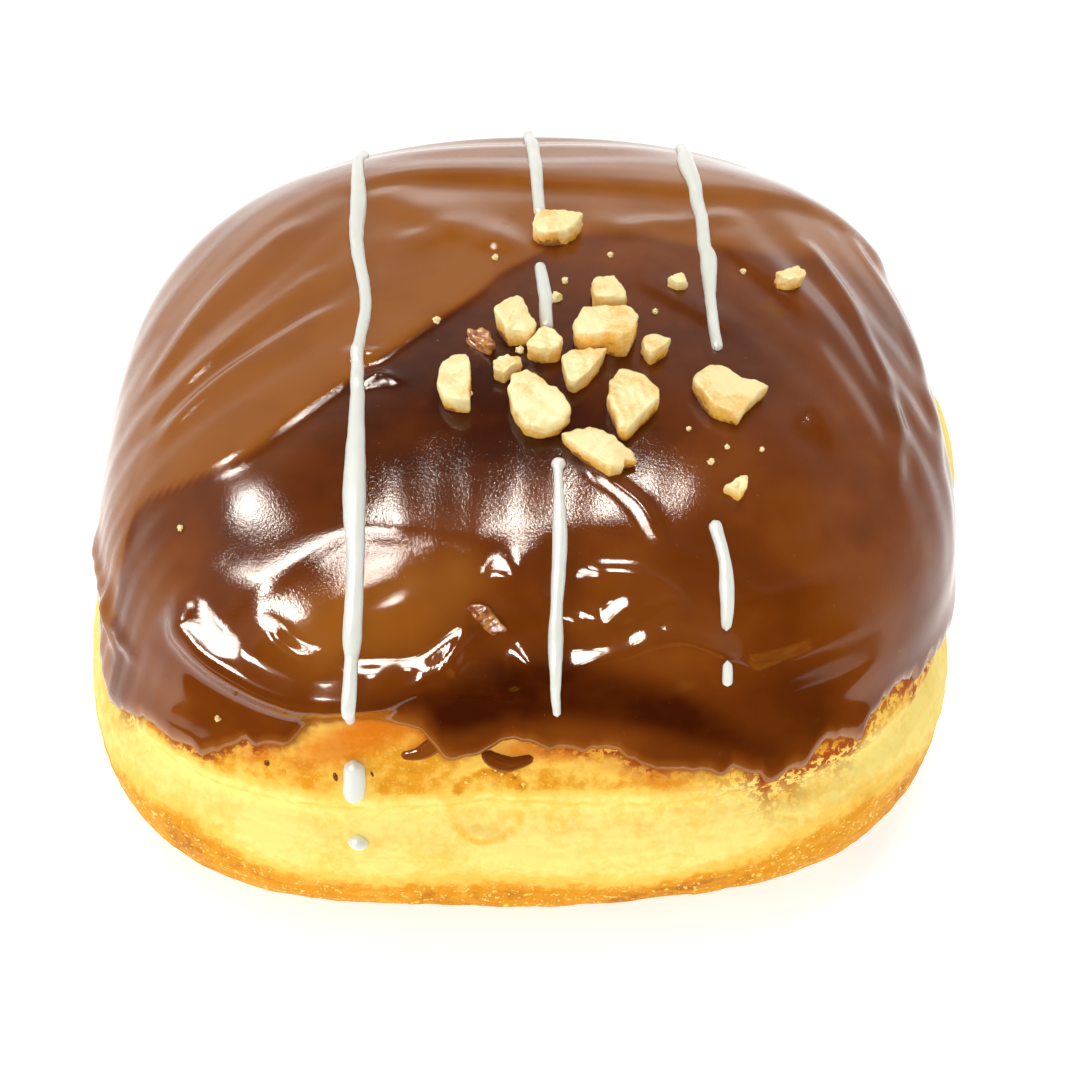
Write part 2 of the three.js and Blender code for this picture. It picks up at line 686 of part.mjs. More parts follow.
// The cap with its white strings: the top raised by a lift, and a lining at a height off the skin.
function icingShell(lift, liningHeight) {
  const top = ICING_SHARES.map((share) => ({ share, height: (turn, fall) => icingTop(turn, fall) + lift }));
  const lining = LINING_SHARES.map((share) => ({ share, height: liningHeight }));
  const rings = [...top, ...lining];
  let shell = ringSkin(rings.length, COLUMNS, (turn, ring) => {
    const fall = rings[ring].share * icingEdge(turn);
    return raised(turn, fall, rings[ring].height(turn, fall));
  });
  for (const string of DRIZZLE) {
    shell = shell.add(beadString(string, (turn, fall) => icingTop(turn, fall) + BEAD_LIFT, lift));
  }
  return shell;
}

function makeIcing() {
  return largestBody(icingShell(0, (turn, fall) => doughRelief(turn, fall) + CLEAR));
}

// A block on a nut's outline, with worn corners, grown outwards.
function nutSolid({ at, height, slope, outline }, grow = 0) {
  const { turn, fall } = skinPlace(at);
  const origin = raised(turn, fall, icingTop(turn, fall) - NUT_BED);
  const up = skinNormal(turn, fall);
  const right = new THREE.Vector3(1, 0, 0).addScaledVector(up, -up.x).normalize();
  const back = up.clone().cross(right);
  return ringSkin(NUT_PROFILE.length, outline.length, (_, ring, column) => {
    const [share, level] = NUT_PROFILE[ring];
    const scale = share * (1 + grow / Math.hypot(...outline[column]));
    const [x, y] = outline[column].map((value) => value * scale);
    const z = level * (height + NUT_BED + 2 * grow + slope[0] * x + slope[1] * y) - grow;
    return origin.clone().addScaledVector(right, x).addScaledVector(back, y).addScaledVector(up, z);
  });
}

// The nuts, each cut clear of the icing, of the strings and of the nuts before it.
function makeNuts() {
  const keepOut = icingShell(CLEAR, () => KEEP_OUT_DEPTH);
  return NUTS.map((nut, i) => {
    let solid = nutSolid(nut).subtract(keepOut);
    for (const earlier of NUTS.slice(0, i)) solid = solid.subtract(nutSolid(earlier, CLEAR));
    return meshFrom(nut.name, largestBody(solid), nut.skin ? NUT_SKIN : NUT);
  });
}

const doughnut = new THREE.Group();
doughnut.add(meshFrom("dough", makeDough(), { color: 0xf6c552, roughness: 0.75 }));
doughnut.add(meshFrom("chocolate_icing", makeIcing(), { color: 0x5a2a10, roughness: 0.25 }));
doughnut.add(...makeNuts());

// The origin is the middle of the space that the doughnut takes up, on the surface it stands on.
const middle = new THREE.Box3().setFromObject(doughnut).getCenter(new THREE.Vector3());
doughnut.position.set(-middle.x, -middle.y, 0);

export default doughnut;
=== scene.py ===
"""The looks of a square filled doughnut: fried dough, chocolate icing, white drizzle, chopped nuts.

Every place on the doughnut is given on its skin, as if the skin were peeled off and laid flat:
[right, back] in millimetres from the crown. Meshes are made in millimetres and placed in metres.
"""

import math

import bpy
import numpy as np
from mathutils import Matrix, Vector


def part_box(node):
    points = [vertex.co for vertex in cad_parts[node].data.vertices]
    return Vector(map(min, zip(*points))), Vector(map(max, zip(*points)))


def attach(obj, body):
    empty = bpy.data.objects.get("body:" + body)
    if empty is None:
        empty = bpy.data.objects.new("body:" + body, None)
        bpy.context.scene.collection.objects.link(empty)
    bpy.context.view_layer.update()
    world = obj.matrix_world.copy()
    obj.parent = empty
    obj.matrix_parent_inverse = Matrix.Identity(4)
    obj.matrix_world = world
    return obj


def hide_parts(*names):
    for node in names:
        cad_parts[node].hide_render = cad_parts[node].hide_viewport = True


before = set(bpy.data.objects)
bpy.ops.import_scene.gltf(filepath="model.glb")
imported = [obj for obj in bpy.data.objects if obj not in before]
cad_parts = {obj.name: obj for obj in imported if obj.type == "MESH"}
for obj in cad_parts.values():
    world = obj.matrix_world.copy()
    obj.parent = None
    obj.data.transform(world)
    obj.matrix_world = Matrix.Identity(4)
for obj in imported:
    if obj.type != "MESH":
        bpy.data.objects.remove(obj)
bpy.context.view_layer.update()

MM = 0.001
BODY = "root"

# ------------------------------------------------------------------ the doughnut's sizes, in millimetres

HALF_WIDTH = 45
HALF_DEPTH = 44
SQUARENESS = 2.9
CROWN_HEIGHT = 45.2
WAIST_HEIGHT = 16
CROWN_LEAN = (2.0, 1.8)

# The side profile from the crown to the middle of the base: (share of the plan radius, height).
PROFILE = [
    (0, CROWN_HEIGHT),
    (0.24, 44.8),
    (0.47, 43.4),
    (0.69, 40.9),
    (0.84, 37.0),
    (0.92, 33.0),
    (0.955, 28.6),
    (0.969, 24.2),
    (0.988, 20.2),
    (0.99, 17.8),
    (0.977, WAIST_HEIGHT),
    (1.002, 13.2),
    (1.015, 10.2),
    (1.0, 5.8),
    (0.963, 2.2),
    (0.88, 0.5),
    (0.78, 0),
    (0, 0),
]
# The plan is a little uneven: lobes, and the shares of the radius that they add along cosine and sine.
PLAN_WOBBLE = [(1, -0.012, 0.038), (2, -0.016, 0.004), (3, 0.004, -0.028), (4, 0.006, -0.008)]
# The side swells and dips: turns, height, phase, and how far the swell leans as it comes down.
SIDE_LUMPS = [(4, 0.3, 0.7, 0.05), (7, 0.2, 2.1, 0.11), (11, 0.12, 4.0, 0.17)]
NAVEL = {"at": (-4.8, -61.6), "radius": 2.6, "depth": 0.45}
# The lower half is squarer than the cap at its back right corner: the turn and how far round it
# reaches, how much wider it is there, and the heights between which it swells.
CORNER = {"turn": math.radians(33), "reach": math.radians(24), "share": 0.15, "above": 22, "below": 14}

ICING_CROWN = 2.2
ICING_SIDE = 1.5
ICING_LIP = 2.4
# The icing's lower edge: (degrees round from the right-hand side, millimetres down the skin).
ICING_EDGE = [
    (0, 54.5), (14, 55.5), (28, 54.2), (42, 58.5), (56, 56.5), (72, 59), (88, 56.4), (104, 59.2),
    (120, 57), (134, 60), (150, 57), (164, 59), (180, 56.5), (194, 55.2), (203, 56), (213, 61.2),
    (221, 58.4), (229, 58.2), (235, 55.2), (239, 54.6), (243, 51), (249, 50.2), (254, 50.8),
    (260, 54.9), (263, 54.4), (267, 52.7), (275, 54.2), (281, 54.4), (288, 57), (297, 58),
    (304, 60.2), (309, 57.6), (314, 58.2), (319.5, 55.5), (327, 57), (338, 58.4), (350, 55.8),
]
# Where the edge is broken into crumbs: (degrees round, reach in degrees, millimetres of raggedness).
RAGGED = [(211, 7, 0.6), (231, 8, 0.25), (281, 9, 0.3), (309, 11, 1.1), (325, 9, 0.7)]
RAGGED_PLAIN = 0.1  # and everywhere else

# Folds where the icing set while it ran. A ridge is raised along its path, and a lip steps up on the
# left-hand side of its path and fades over its reach: (form, height, width, reach, path).
FOLDS = [
    ("lip", 0.9, 0.9, 8, [(-19, 20), (-16.8, 21.2), (-11.5, 22.2), (-4, 21.8), (2, 20.5), (9.8, 19.5),
                          (15.5, 19.5), (21.8, 21), (27, 23), (33, 23.2), (39, 20)]),
    ("ridge", 0.6, 1.9, 0, [(-15.5, 8.9), (-12.5, 10), (-9.5, 10.5), (-6, 10.2)]),
    ("lip", 0.9, 1.0, 5, [(-18.5, 21), (-16.8, 19.2), (-13, 14.8), (-8.8, 10.8), (-4.8, 7.8), (-0.2, 8)]),
    ("lip", 0.4, 0.7, 9, [(-42.5, -25.5), (-40, -22.8), (-37.8, -18.9), (-32.8, -18.8), (-26.8, -17.8),
                          (-22, -14.2), (-13, -6.2), (-6.2, 1), (-0.2, 7), (2, 9)]),
    ("lip", 0.5, 1.0, 4, [(2, 10.6), (4, 11.3), (6.2, 11.2), (7.8, 10.2), (8.5, 7.2), (9.8, 3.5),
                          (12.2, 1.2), (17, -2.5), (20, -5)]),
    ("ridge", 0.35, 1.4, 0, [(5, 10), (8, 11.2), (10.8, 13), (13.8, 14), (20.8, 18)]),
    ("lip", 0.8, 0.9, 5, [(14, 12.5), (17.2, 11.2), (21, 8.2), (24.8, 4.8), (26.8, 1.8), (27.5, -2.2),
                          (26.8, -7), (25.2, -11.5), (23, -16)]),
    ("lip", 0.35, 0.9, 4, [(-27.5, -34), (-25.5, -32.5), (-21.5, -30.5), (-17.8, -28.8), (-14.5, -29.8),
                           (-10.5, -31.8), (-7.8, -33.2), (-4.8, -34.8), (-1.5, -36.8), (1.2, -39)]),
    ("lip", 0.9, 0.7, 3.5, [(-6.4, -39.6), (-8.2, -41), (-11, -42), (-13.8, -42), (-18, -40.8),
                             (-20.5, -39), (-23.2, -36.8), (-26, -32)]),
    ("ridge", 1.9, 1.7, 0, [(-34.6, -28.6), (-32.6, -32.2), (-31, -34.9), (-28.7, -37.7), (-26.4, -40),
                            (-24.1, -41.7), (-21.5, -43), (-18.2, -44), (-13, -45)]),
    ("ridge", 0.9, 1.0, 0, [(-17, -44.6), (-13.8, -44.3), (-11.5, -44), (-8.7, -42.6), (-6.5, -40)]),
    ("ridge", 1.2, 1.3, 0, [(-12, -44), (-8.5, -44.8), (-5.5, -45.6), (-2.5, -46.5), (1, -47)]),
    ("ridge", 1.5, 1.6, 0, [(-3.5, -42), (-1, -44.3), (3, -45.3), (7.2, -44), (10.2, -42.6), (12.5, -41.3),
                            (15.5, -40.3), (19, -40.2), (23, -40.5)]),
    ("lip", 0.9, 0.6, 2.5, [(-6.5, -35), (-5, -36.2), (-1.8, -38), (0.8, -39.5), (3, -41)]),
    ("ridge", 0.8, 1.2, 0, [(0.5, -40.4), (3.5, -40.9), (7, -41), (9, -39.6), (11.2, -38.3), (14, -37.3)]),
    ("lip", 0.7, 0.7, 4, [(17.5, -37), (13.8, -35.5), (11.2, -34.8), (7.2, -35.2), (2.8, -36)]),
    ("ridge", 0.3, 0.9, 0, [(5, -22), (6.2, -24.8), (10.2, -28), (12.2, -31), (15, -32), (18, -32.2),
                            (23.2, -34)]),
    ("ridge", 0.5, 1.2, 0, [(26, 17), (28, 14), (33, 6), (36, -4), (35, -14), (33, -20)]),
    ("ridge", 0.5, 1.3, 0, [(31, 25), (34, 20), (41, 10), (43, -3), (42, -12)]),
    ("ridge", 0.35, 1.3, 0, [(-22, 18), (-33, 9), (-42, -3)]),
    ("ridge", 0.3, 1.2, 0, [(-20, 9), (-31, 0), (-41, -10)]),
    ("ridge", 0.3, 1.1, 0, [(-20, 2), (-31, -6), (-38, -13)]),
    ("ridge", 0.45, 2.2, 0, [(-34, 32), (-14, 39), (6, 38), (26, 35)]),
    ("ridge", 0.6, 0.9, 0, [(-43, -22), (-45.5, -26), (-46, -31)]),
    ("ridge", 0.6, 1.0, 0, [(-41, -33), (-44.5, -27), (-47.5, -20), (-50, -12)]),
    ("ridge", 0.8, 0.7, 0, [(-19.5, -5.4), (-16.6, -7.4), (-13.4, -6.4)]),
    ("ridge", 0.8, 0.7, 0, [(-18.2, -11.6), (-14.8, -10), (-11.6, -11.0)]),
]
FOLD_FADE = 4.5  # millimetres of a fold's path over which each end dies away
# Soft ripples in patches: (middle, reach, degrees of the crests, wavelength, height, phase).
RIPPLES = [
    ((-30, 2), 15, 35, 7.0, 0.13, 0.4),
    ((-27, 8), 13, 42, 4.3, 0.07, 1.9),
    ((-34, -6), 9, 30, 5.2, 0.10, 3.0),
    ((-15, -22), 12, 97, 7.4, 0.03, 0.9),
    ((-11, -25), 8, 88, 3.4, 0.010, 2.0),
    ((9, -27), 8, 82, 4.6, 0.016, 2.2),
    ((-45, -27), 10, 30, 2.6, 0.10, 0.0),
    ((33, 8), 12, -50, 6.0, 0.16, 0.0),
    ((36, -8), 11, -62, 5.0, 0.14, 1.4),
    ((-2, 34), 16, 4, 7.5, 0.14, 2.0),
    ((-15, -37), 7, 12, 4.2, 0.04, 0.7),
    ((26, -34), 9, 40, 5.6, 0.12, 2.6),
]

LONG_FOLD = 3  # the fold that parts the pale lobe from the dark front
# How pale the icing looks, 0 to 1, partly its own milky and dark colours and partly painted reflection:
# everywhere, then in patches (middle, reach right and back, tone).
TONE_PLAIN = 0.5
TONE_AND_REFLECTION_PATCHES = [
    # painted reflection of the dark room over the middle of the front
    ((-4, -14), (17, 16), 0.04),
    ((16, -4), (9, 10), 0.25),
    ((-22, -24), (11, 7), 0.2),
    ((-36, -30), (7, 9), 0.55),
    # painted pale reflection in the hollow of the pool
    ((-15, -36.5), (9.5, 4.6), 0.95),
    ((6, -29), (9, 4), 0.45),
    # painted dark reflection along the steep front, where it faces the dark room
    ((0, -47), (32, 3.2), 0.0),
    ((28, -43), (9, 5), 0.25),
]

# White icing drizzled over the top: each string of points is (right, back, width).
DRIZZLE = [
    [(-18.4, 53, 0.9), (-17.9, 40, 1.3), (-17.7, 29, 1.1), (-17.2, 18.2, 1.8), (-17.6, 9.9, 1.4),
     (-17.6, -3, 1.2), (-16.4, -13, 1.5), (-16.8, -23.7, 2.3), (-17.1, -31.6, 1.7), (-17.9, -38.2, 1.9),
     (-18.2, -40.2, 1.3), (-18.7, -43.2, 1.4), (-19.8, -46.2, 0.9)],
    [(-0.8, 52, 0.9), (-0.6, 38, 1.3), (-0.3, 24.8, 1.4), (0, 14.6, 1.2)],
    [(-0.1, 5.6, 1.2), (0.4, 0, 1.4), (0.6, -5.4, 1.3)],
    [(1.9, -23.7, 1.4), (1.9, -24.6, 1.4), (1.9, -25.8, 0.9), (2.2, -33.3, 1.5), (2.1, -39.3, 1.2),
     (2.2, -42.4, 1.5), (2.4, -46.1, 1.0), (3.1, -49.4, 0.8)],
    [(15.6, 51, 0.9), (15.2, 36, 1.2), (14.6, 26.1, 1.9), (15.1, 19.6, 1.5), (16, 11.3, 1.4),
     (17, 7.9, 1.8), (17.6, 1.4, 1.2), (17, -6.4, 1.2)],
    [(16.8, -27.8, 1.3), (18.1, -31.3, 1.2), (18.9, -34.8, 1.5), (19.4, -38, 0.9)],
    [(19.9, -40.4, 0.9), (21, -42.6, 1.0)],
]
# Drops of the same icing that fell on the bare dough.
DRIZZLE_DROPS = [
    [(-20.9, -50.8, 2.0), (-21.3, -53.2, 2.3), (-22.1, -55.4, 2.0)],
    [(-23.0, -60.2, 2.2), (-23.6, -61.6, 2.4)],
]

# Chocolate under the two bays, and two dots of it by the white drop.
CHOCOLATE_DRIPS = [
    [(-10.0, -50.4, 1.2), (-11.2, -51.7, 1.8), (-13.2, -52.4, 1.7), (-15.6, -52.1, 0.9)],
    [(-5.4, -53.8, 1.2), (-4.4, -55.0, 1.8), (-2.0, -55.9, 1.7), (1.0, -55.3, 0.9)],
    [(-23.7, -52.0, 1.3), (-23.1, -52.1, 1.3)],
    [(-19.4, -53.1, 1.0), (-19.0, -53.1, 1.0)],
    [(-30.9, -47.6, 0.6), (-30.2, -47.9, 0.8)],
]

# Chopped nuts: name, place, height, slope of the top towards the right and the back, and the outline
# round that place, anticlockwise from the right-hand side.
NUTS = [
    ("nut_large", (6, -6.1), 3, (0.05, -0.05), [
        (3.4, 1.1), (2.8, 2.4), (0.6, 2.3), (-2.2, 2.5), (-2.7, 1.2), (-3.4, -0.2), (-3.2, -1.7),
        (-1.8, -2.3), (0.2, -2.1), (1.2, -2.6), (2.5, -2.4), (2.9, -0.9)]),
    ("nut_fish", (17.2, -13), 2, (-0.05, 0.05), [
        (3.9, 1.2), (3, 1.8), (1.2, 1.6), (-0.2, 3), (-2.2, 3.2), (-3.6, 2.2), (-3.7, 0.9),
        (-2.8, -0.8), (-1.9, -2.4), (0.9, -3.3), (1.7, -1.6), (2.9, 0.2)]),
    ("nut_smooth_wedge", (9, -16), 2.4, (-0.08, 0.05), [
        (2.6, 1.2), (-0.1, 3.8), (-1.4, 4), (-2.4, 2.1), (-2.6, -0.2), (-2, -2.3), (-1.5, -3.9),
        (-0.7, -4), (1.5, -1.3), (2.6, 0.3)]),
    ("nut_two_lobed", (-0.2, -17.4), 2.4, (0.05, 0.1), [
        (2.3, 0.2), (1.9, 1.3), (1.1, 1.3), (-0.1, 2.7), (-1.3, 3.8), (-2.9, 2.7), (-3.2, 1.2),
        (-2.6, -1.5), (-1.4, -3.4), (0.3, -3.8), (2.2, -3.1), (3.2, -1.8)]),
    ("nut_half_kernel", (-8, -12.8), 2.2, (0.1, 0.05), [
        (1.6, -0.4), (1.6, 1.5), (1.2, 3.4), (-0.2, 3.4), (-1.2, 2.4), (-1.7, 0.6), (-1.6, -1),
        (-1, -2.5), (0.2, -3.1), (1.6, -3.3)]),
    ("nut_sliver", (6, -23.1), 1.9, (0, 0.05), [
        (3.6, -0.1), (2.2, 0.9), (0.8, 1.9), (-0.8, 2.5), (-2.4, 2.5), (-3.8, 2.1), (-3, 0.9),
        (-1.8, -0.3), (-0.2, -1.5), (1, -2.5), (2.4, -2), (2.5, -1.2), (3.8, -1.1)]),
    ("nut_back", (1.7, 11), 1.9, (0.1, -0.1), [
        (2.7, 0.8), (1.5, 1.4), (0.4, 2), (-0.7, 2.5), (-2, 2.4), (-2.4, 1.4), (-2.7, -1.3),
        (-2.1, -2.2), (-0.7, -2.4), (0.9, -2.2), (1.9, -1.2)]),
    ("nut_peaked", (-2.5, -4.7), 2.4, (-0.1, 0.1), [
        (2.1, -1.3), (1.3, 0.7), (0.9, 2.3), (0.3, 2.9), (-0.8, 2.4), (-1.8, 1.1), (-2.1, 0.2),
        (-1.3, -1.4), (-0.8, -2.4), (0.4, -2.5), (1.4, -2.8)]),
    ("nut_behind", (6.9, -0.6), 2.2, (0, -0.1), [
        (1.8, -0.6), (1.3, 0.9), (0.5, 2.1), (-1.1, 2.1), (-1.9, 1.6), (-1.7, 0.2), (-1.7, -1.6),
        (-0.3, -1.9), (1.4, -1.6)]),
    ("nut_triangle", (4.4, -11.9), 1.9, (0, 0.1), [
        (2.2, 2.2), (0.5, 2.4), (-1.6, 2.1), (-2.2, 1), (-2, -0.6), (-1.7, -2.2), (-0.9, -2.5),
        (0.3, -1.4), (1.4, 0.3)]),
    ("nut_right", (10.6, -7.6), 1.7, (0.1, 0), [
        (1.5, 1), (0.7, 1.5), (-0.5, 1.6), (-1.2, 0.9), (-1.5, 0.3), (-1.3, -0.7), (-0.6, -1.6),
        (0.2, -1), (1.1, 0)]),
    ("nut_middle", (0.3, -8.8), 2, (0, 0), [
        (1.9, -0.2), (0.9, 1), (0.1, 1.8), (-0.7, 0.7), (-1.7, -0.2), (-1.8, -1), (-0.9, -1.6),
        (0.5, -1.8), (1.6, -1.2)]),
    ("nut_paired", (-3.3, -11.4), 1.5, (0.1, 0), [
        (1.4, 0), (1.4, 1.2), (0.7, 1.4), (-0.5, 1), (-1.5, 0.7), (-1.4, -0.9), (-0.4, -1.4),
        (0.2, -0.7)]),
    ("nut_tooth", (18.3, -24), 1.4, (0, 0), [
        (1.1, 0.3), (1.1, 1), (0.5, 1.2), (-1.1, -0.1), (-0.3, -0.6), (0.4, -1.2), (1.1, -0.3)]),
    ("nut_far_right", (25.8, 6.2), 1.4, (0.1, 0), [
        (1.6, 0.7), (1, 1.2), (0.3, 1), (-0.8, 0.2), (-1.6, -0.4), (-1.2, -1), (-0.2, -1.2), (0.7, -1),
        (1.4, 0)]),
    ("nut_chip", (14.1, 3.2), 1.1, (0, 0), [
        (1.1, 0), (0.5, 1), (-0.5, 0.5), (-1.1, -0.4), (-0.1, -1), (0.8, -0.6)]),
]
SKIN_FLAKES = [
    ("skin_flake_back", (-5.6, -6.5), 1, (-0.1, 0), [
        (1.6, 0.1), (0.6, 1.5), (-0.6, 1.1), (-1.6, 0.3), (-0.4, -0.5), (0.9, -1.5), (1.6, -0.6)]),
    ("skin_flake_front", (-5.2, -40.1), 1.1, (0.1, 0), [
        (1.5, -0.9), (0.9, 0.2), (0.3, 1), (-0.9, 1.3), (-1.6, 1), (-1.2, 0.1), (-0.6, -0.9),
        (0.4, -1.3)]),
]
# The larger loose crumbs: (right, back, size).
CRUMBS = [
    (-10.0, -3.2, 0.8), (-4.2, 6.0, 0.7), (6.5, 7.1, 0.6), (1.6, 0.0, 1.2), (2.2, 2.7, 0.7),
    (16.1, -21.0, 0.7), (20.9, 7.4, 0.6), (-6.9, -13.6, 0.8), (-2.2, -8.3, 0.8), (11.5, -1.5, 0.6),
    (13.9, -17.2, 0.5), (20.4, -18.4, 0.5), (17.3, -18.8, 0.5), (-33.0, -41.0, 0.6), (-32.5, -23.0, 0.6),
]

# ------------------------------------------------------------------ the skin


def catmull_rom(points, steps):
    """A smooth line through the points, with the given steps to each stretch."""
    points = np.asarray(points, float)
    ends = np.vstack([points[:1], points, points[-1:]])
    share = np.linspace(0, 1, steps, endpoint=False)[:, None]
    line = []
    for before, start, end, after in zip(ends, ends[1:], ends[2:], ends[3:]):
        bend = 2 * before - 5 * start + 4 * end - after
        twist = 3 * start - before - 3 * end + after
        line.append(0.5 * (2 * start + (end - before) * share + bend * share**2 + twist * share**3))
    return np.vstack(line + [points[-1:]])


def smooth_step(value):
    """From 0 to 1 without a corner at either end."""
    value = np.clip(value, 0, 1)
    return value * value * (3 - 2 * value)


def run_along(line):
    """How far along a line each of its points is."""
    return np.concatenate([[0], np.cumsum(np.hypot(*np.diff(line, axis=0).T))])


PROFILE_STEPS = 48
profile_line = catmull_rom(PROFILE, PROFILE_STEPS) * (HALF_WIDTH, 1)
profile_fall = run_along(profile_line)
SKIN_LENGTH = profile_fall[-1]


def plan_radius(turn):
    """The half width of the rounded square at a turn, with its uneven lobes."""
    across = np.abs(np.cos(turn) / HALF_WIDTH) ** SQUARENESS
    along = np.abs(np.sin(turn) / HALF_DEPTH) ** SQUARENESS
    share = 1.0
    for lobes, cosine, sine in PLAN_WOBBLE:
        share = share + cosine * np.cos(lobes * turn) + sine * np.sin(lobes * turn)
    return (across + along) ** (-1 / SQUARENESS) * share


def pillow(turn, fall):
    """Points on the smooth pillow at a turn round the doughnut and a fall down its skin."""
    radius = plan_radius(turn) * np.interp(fall, profile_fall, profile_line[:, 0]) / HALF_WIDTH
    z = np.interp(fall, profile_fall, profile_line[:, 1])
    lean = np.clip((z - WAIST_HEIGHT) / (CROWN_HEIGHT - WAIST_HEIGHT), 0, 1)
    lower = smooth_step((CORNER["above"] - z) / (CORNER["above"] - CORNER["below"]))
    near = np.exp((np.cos(turn - CORNER["turn"]) - 1) * 2 / CORNER["reach"] ** 2)
    radius = radius * (1 + CORNER["share"] * near * lower)
    x = radius * np.cos(turn) + CROWN_LEAN[0] * lean
    y = radius * np.sin(turn) + CROWN_LEAN[1] * lean
    return np.stack([x, y, z], -1)


def skin_normal(turn, fall):
    """Which way the smooth pillow faces, from the places a little above, below and beside."""
    step_down, step_round = 0.3, 0.01
    fall = np.clip(fall, 1.5 * step_down, SKIN_LENGTH - 1.5 * step_down)
    down = pillow(turn, fall + step_down) - pillow(turn, fall - step_down)
    along = pillow(turn + step_round, fall) - pillow(turn - step_round, fall)
    normal = np.cross(down, along)
    return normal / np.linalg.norm(normal, axis=-1, keepdims=True)


def polar(right, back):
    """The turn and the fall of a place on the skin."""
    return np.arctan2(back, right), np.hypot(right, back)


def dough_relief(turn, fall):
    """How far the dough swells off the smooth pillow, with a dip at the filling mark."""
    on_side = np.sin(np.pi * fall / SKIN_LENGTH) ** 2
    height = 0.0
    for turns, size, phase, lean in SIDE_LUMPS:
        height = height + size * np.cos(turns * turn + phase + lean * fall) * on_side
    far = np.hypot(fall * np.cos(turn) - NAVEL["at"][0], fall * np.sin(turn) - NAVEL["at"][1])
    return height - NAVEL["depth"] * np.exp(-((far / NAVEL["radius"]) ** 4))


def icing_edge(turn):
    """How far down the skin the icing reaches at each turn."""
    degrees = np.degrees(turn) % 360
    at = np.array([angle for angle, _ in ICING_EDGE] + [360])
    falls = np.array([fall for _, fall in ICING_EDGE] + [ICING_EDGE[0][1]])
    i = np.clip(np.searchsorted(at, degrees, side="right") - 1, 0, len(at) - 2)
    share = np.clip((degrees - at[i]) / (at[i + 1] - at[i]), 0, 1)
    return falls[i] + (falls[i + 1] - falls[i]) * smooth_step(share)


def ragged_edge(turn):
    """The icing's edge with the small bites and crumbs that it has in places."""
    degrees = np.degrees(turn) % 360
    size = RAGGED_PLAIN
    for middle, reach, millimetres in RAGGED:
        size = size + millimetres * np.exp(-(((degrees - middle) / reach) ** 2))
    # soft scallops of three sizes, and bites with square corners, none of them evenly spaced
    scallops = np.sin(61 * turn + 1) + np.sin(97 * turn + 4 + np.sin(23 * turn)) + 0.7 * np.sin(173 * turn)
    bites = np.sign(np.sin(139 * turn + 2 * np.sin(31 * turn)))
    return icing_edge(turn) + size * (0.4 * scallops + 0.25 * bites)


def nearest_on_line(line, right, back):
    """The signed distance to a line, left of it positive, and how far the nearest place is from its ends."""
    far = np.full(right.shape, np.inf)
    signed = np.zeros(right.shape)
    passed = np.zeros(right.shape)
    length = 0.0
    for start, end in zip(line, line[1:]):
        ahead = end - start
        stretch = np.hypot(*ahead)
        off_x, off_y = right - start[0], back - start[1]
        along = np.clip((off_x * ahead[0] + off_y * ahead[1]) / stretch**2, 0, 1)
        here = np.hypot(off_x - along * ahead[0], off_y - along * ahead[1])
        side = np.where(ahead[0] * off_y - ahead[1] * off_x >= 0, 1, -1)
        closer = here < far
        far = np.where(closer, here, far)
        signed = np.where(closer, side * here, signed)
        passed = np.where(closer, length + along * stretch, passed)
        length += stretch
    return signed, np.minimum(passed, length - passed)


def fold_height(form, height, width, reach, line, right, back):
    """How high one fold stands: a rounded ridge, or a step up on the left of its path that fades out."""
    signed, from_end = nearest_on_line(line, right, back)
    height = height * smooth_step(from_end / FOLD_FADE)
    if form == "ridge":
        return height * np.exp(-((signed / width) ** 2))
    step = 0.5 + 0.5 * np.tanh(signed / width)
    return height * step * np.exp(-((np.maximum(signed, 0) / reach) ** 2))


FOLD_STEPS = 12
fold_lines = [(*fold[:4], catmull_rom(fold[4], FOLD_STEPS)) for fold in FOLDS]


def icing_relief(right, back):
    """The height of all folds and ripples, each fold worked out only near its path."""
    height = np.zeros(np.shape(right))
    for form, size, width, reach, line in fold_lines:
        margin = FOLD_FADE + 2.6 * max(width, reach)
        (left_end, front_end), (right_end, back_end) = line.min(0) - margin, line.max(0) + margin
        near = (right > left_end) & (right < right_end) & (back > front_end) & (back < back_end)
        height[near] += fold_height(form, size, width, reach, line, right[near], back[near])
    for (x, y), reach, degrees, wavelength, size, phase in RIPPLES:
        angle = math.radians(degrees)
        across = -(right - x) * math.sin(angle) + (back - y) * math.cos(angle)
        patch = np.exp(-(((right - x) ** 2 + (back - y) ** 2) / reach**2))
        height = height + size * patch * np.cos(2 * np.pi * across / wavelength + phase)
    return height


def icing_top(turn, fall):
    """How far the top of the icing stands off the pillow."""
    edge = icing_edge(turn)
    inward = np.clip((edge - fall) / ICING_LIP, 0, 1)
    body = ICING_CROWN + (ICING_SIDE - ICING_CROWN) * np.minimum(fall / edge, 1)
    lip = np.sqrt(1 - (1 - inward) ** 2)
    right, back = fall * np.cos(turn), fall * np.sin(turn)
    return body * lip + icing_relief(right, back) * inward


def skin_shift():
    """How far the skin moves sideways, so that its widest part shares its middle with the solid dough."""
    turns, falls = np.meshgrid(np.linspace(0, 2 * np.pi, 720), np.linspace(40, 80, 160), indexing="ij")
    side = pillow(turns, falls) + skin_normal(turns, falls) * dough_relief(turns, falls)[..., None]
    low, high = (np.array(corner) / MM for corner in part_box("dough"))
    middle = (low + high) / 2 - (side.min((0, 1)) + side.max((0, 1))) / 2
    return np.array([middle[0], middle[1], 0])


SHIFT = skin_shift()


def on_skin(right, back, height):
    """Points standing off the skin by a height, in millimetres in the doughnut's frame."""
    turn, fall = polar(np.asarray(right, float), np.asarray(back, float))
    return pillow(turn, fall) + skin_normal(turn, fall) * np.asarray(height)[..., None] + SHIFT


def on_icing(right, back, lift=0.0):
    """Points on top of the icing, or lifted off it."""
    turn, fall = polar(np.asarray(right, float), np.asarray(back, float))
    return on_skin(right, back, icing_top(turn, fall) + lift)


# ------------------------------------------------------------------ mesh and node helpers


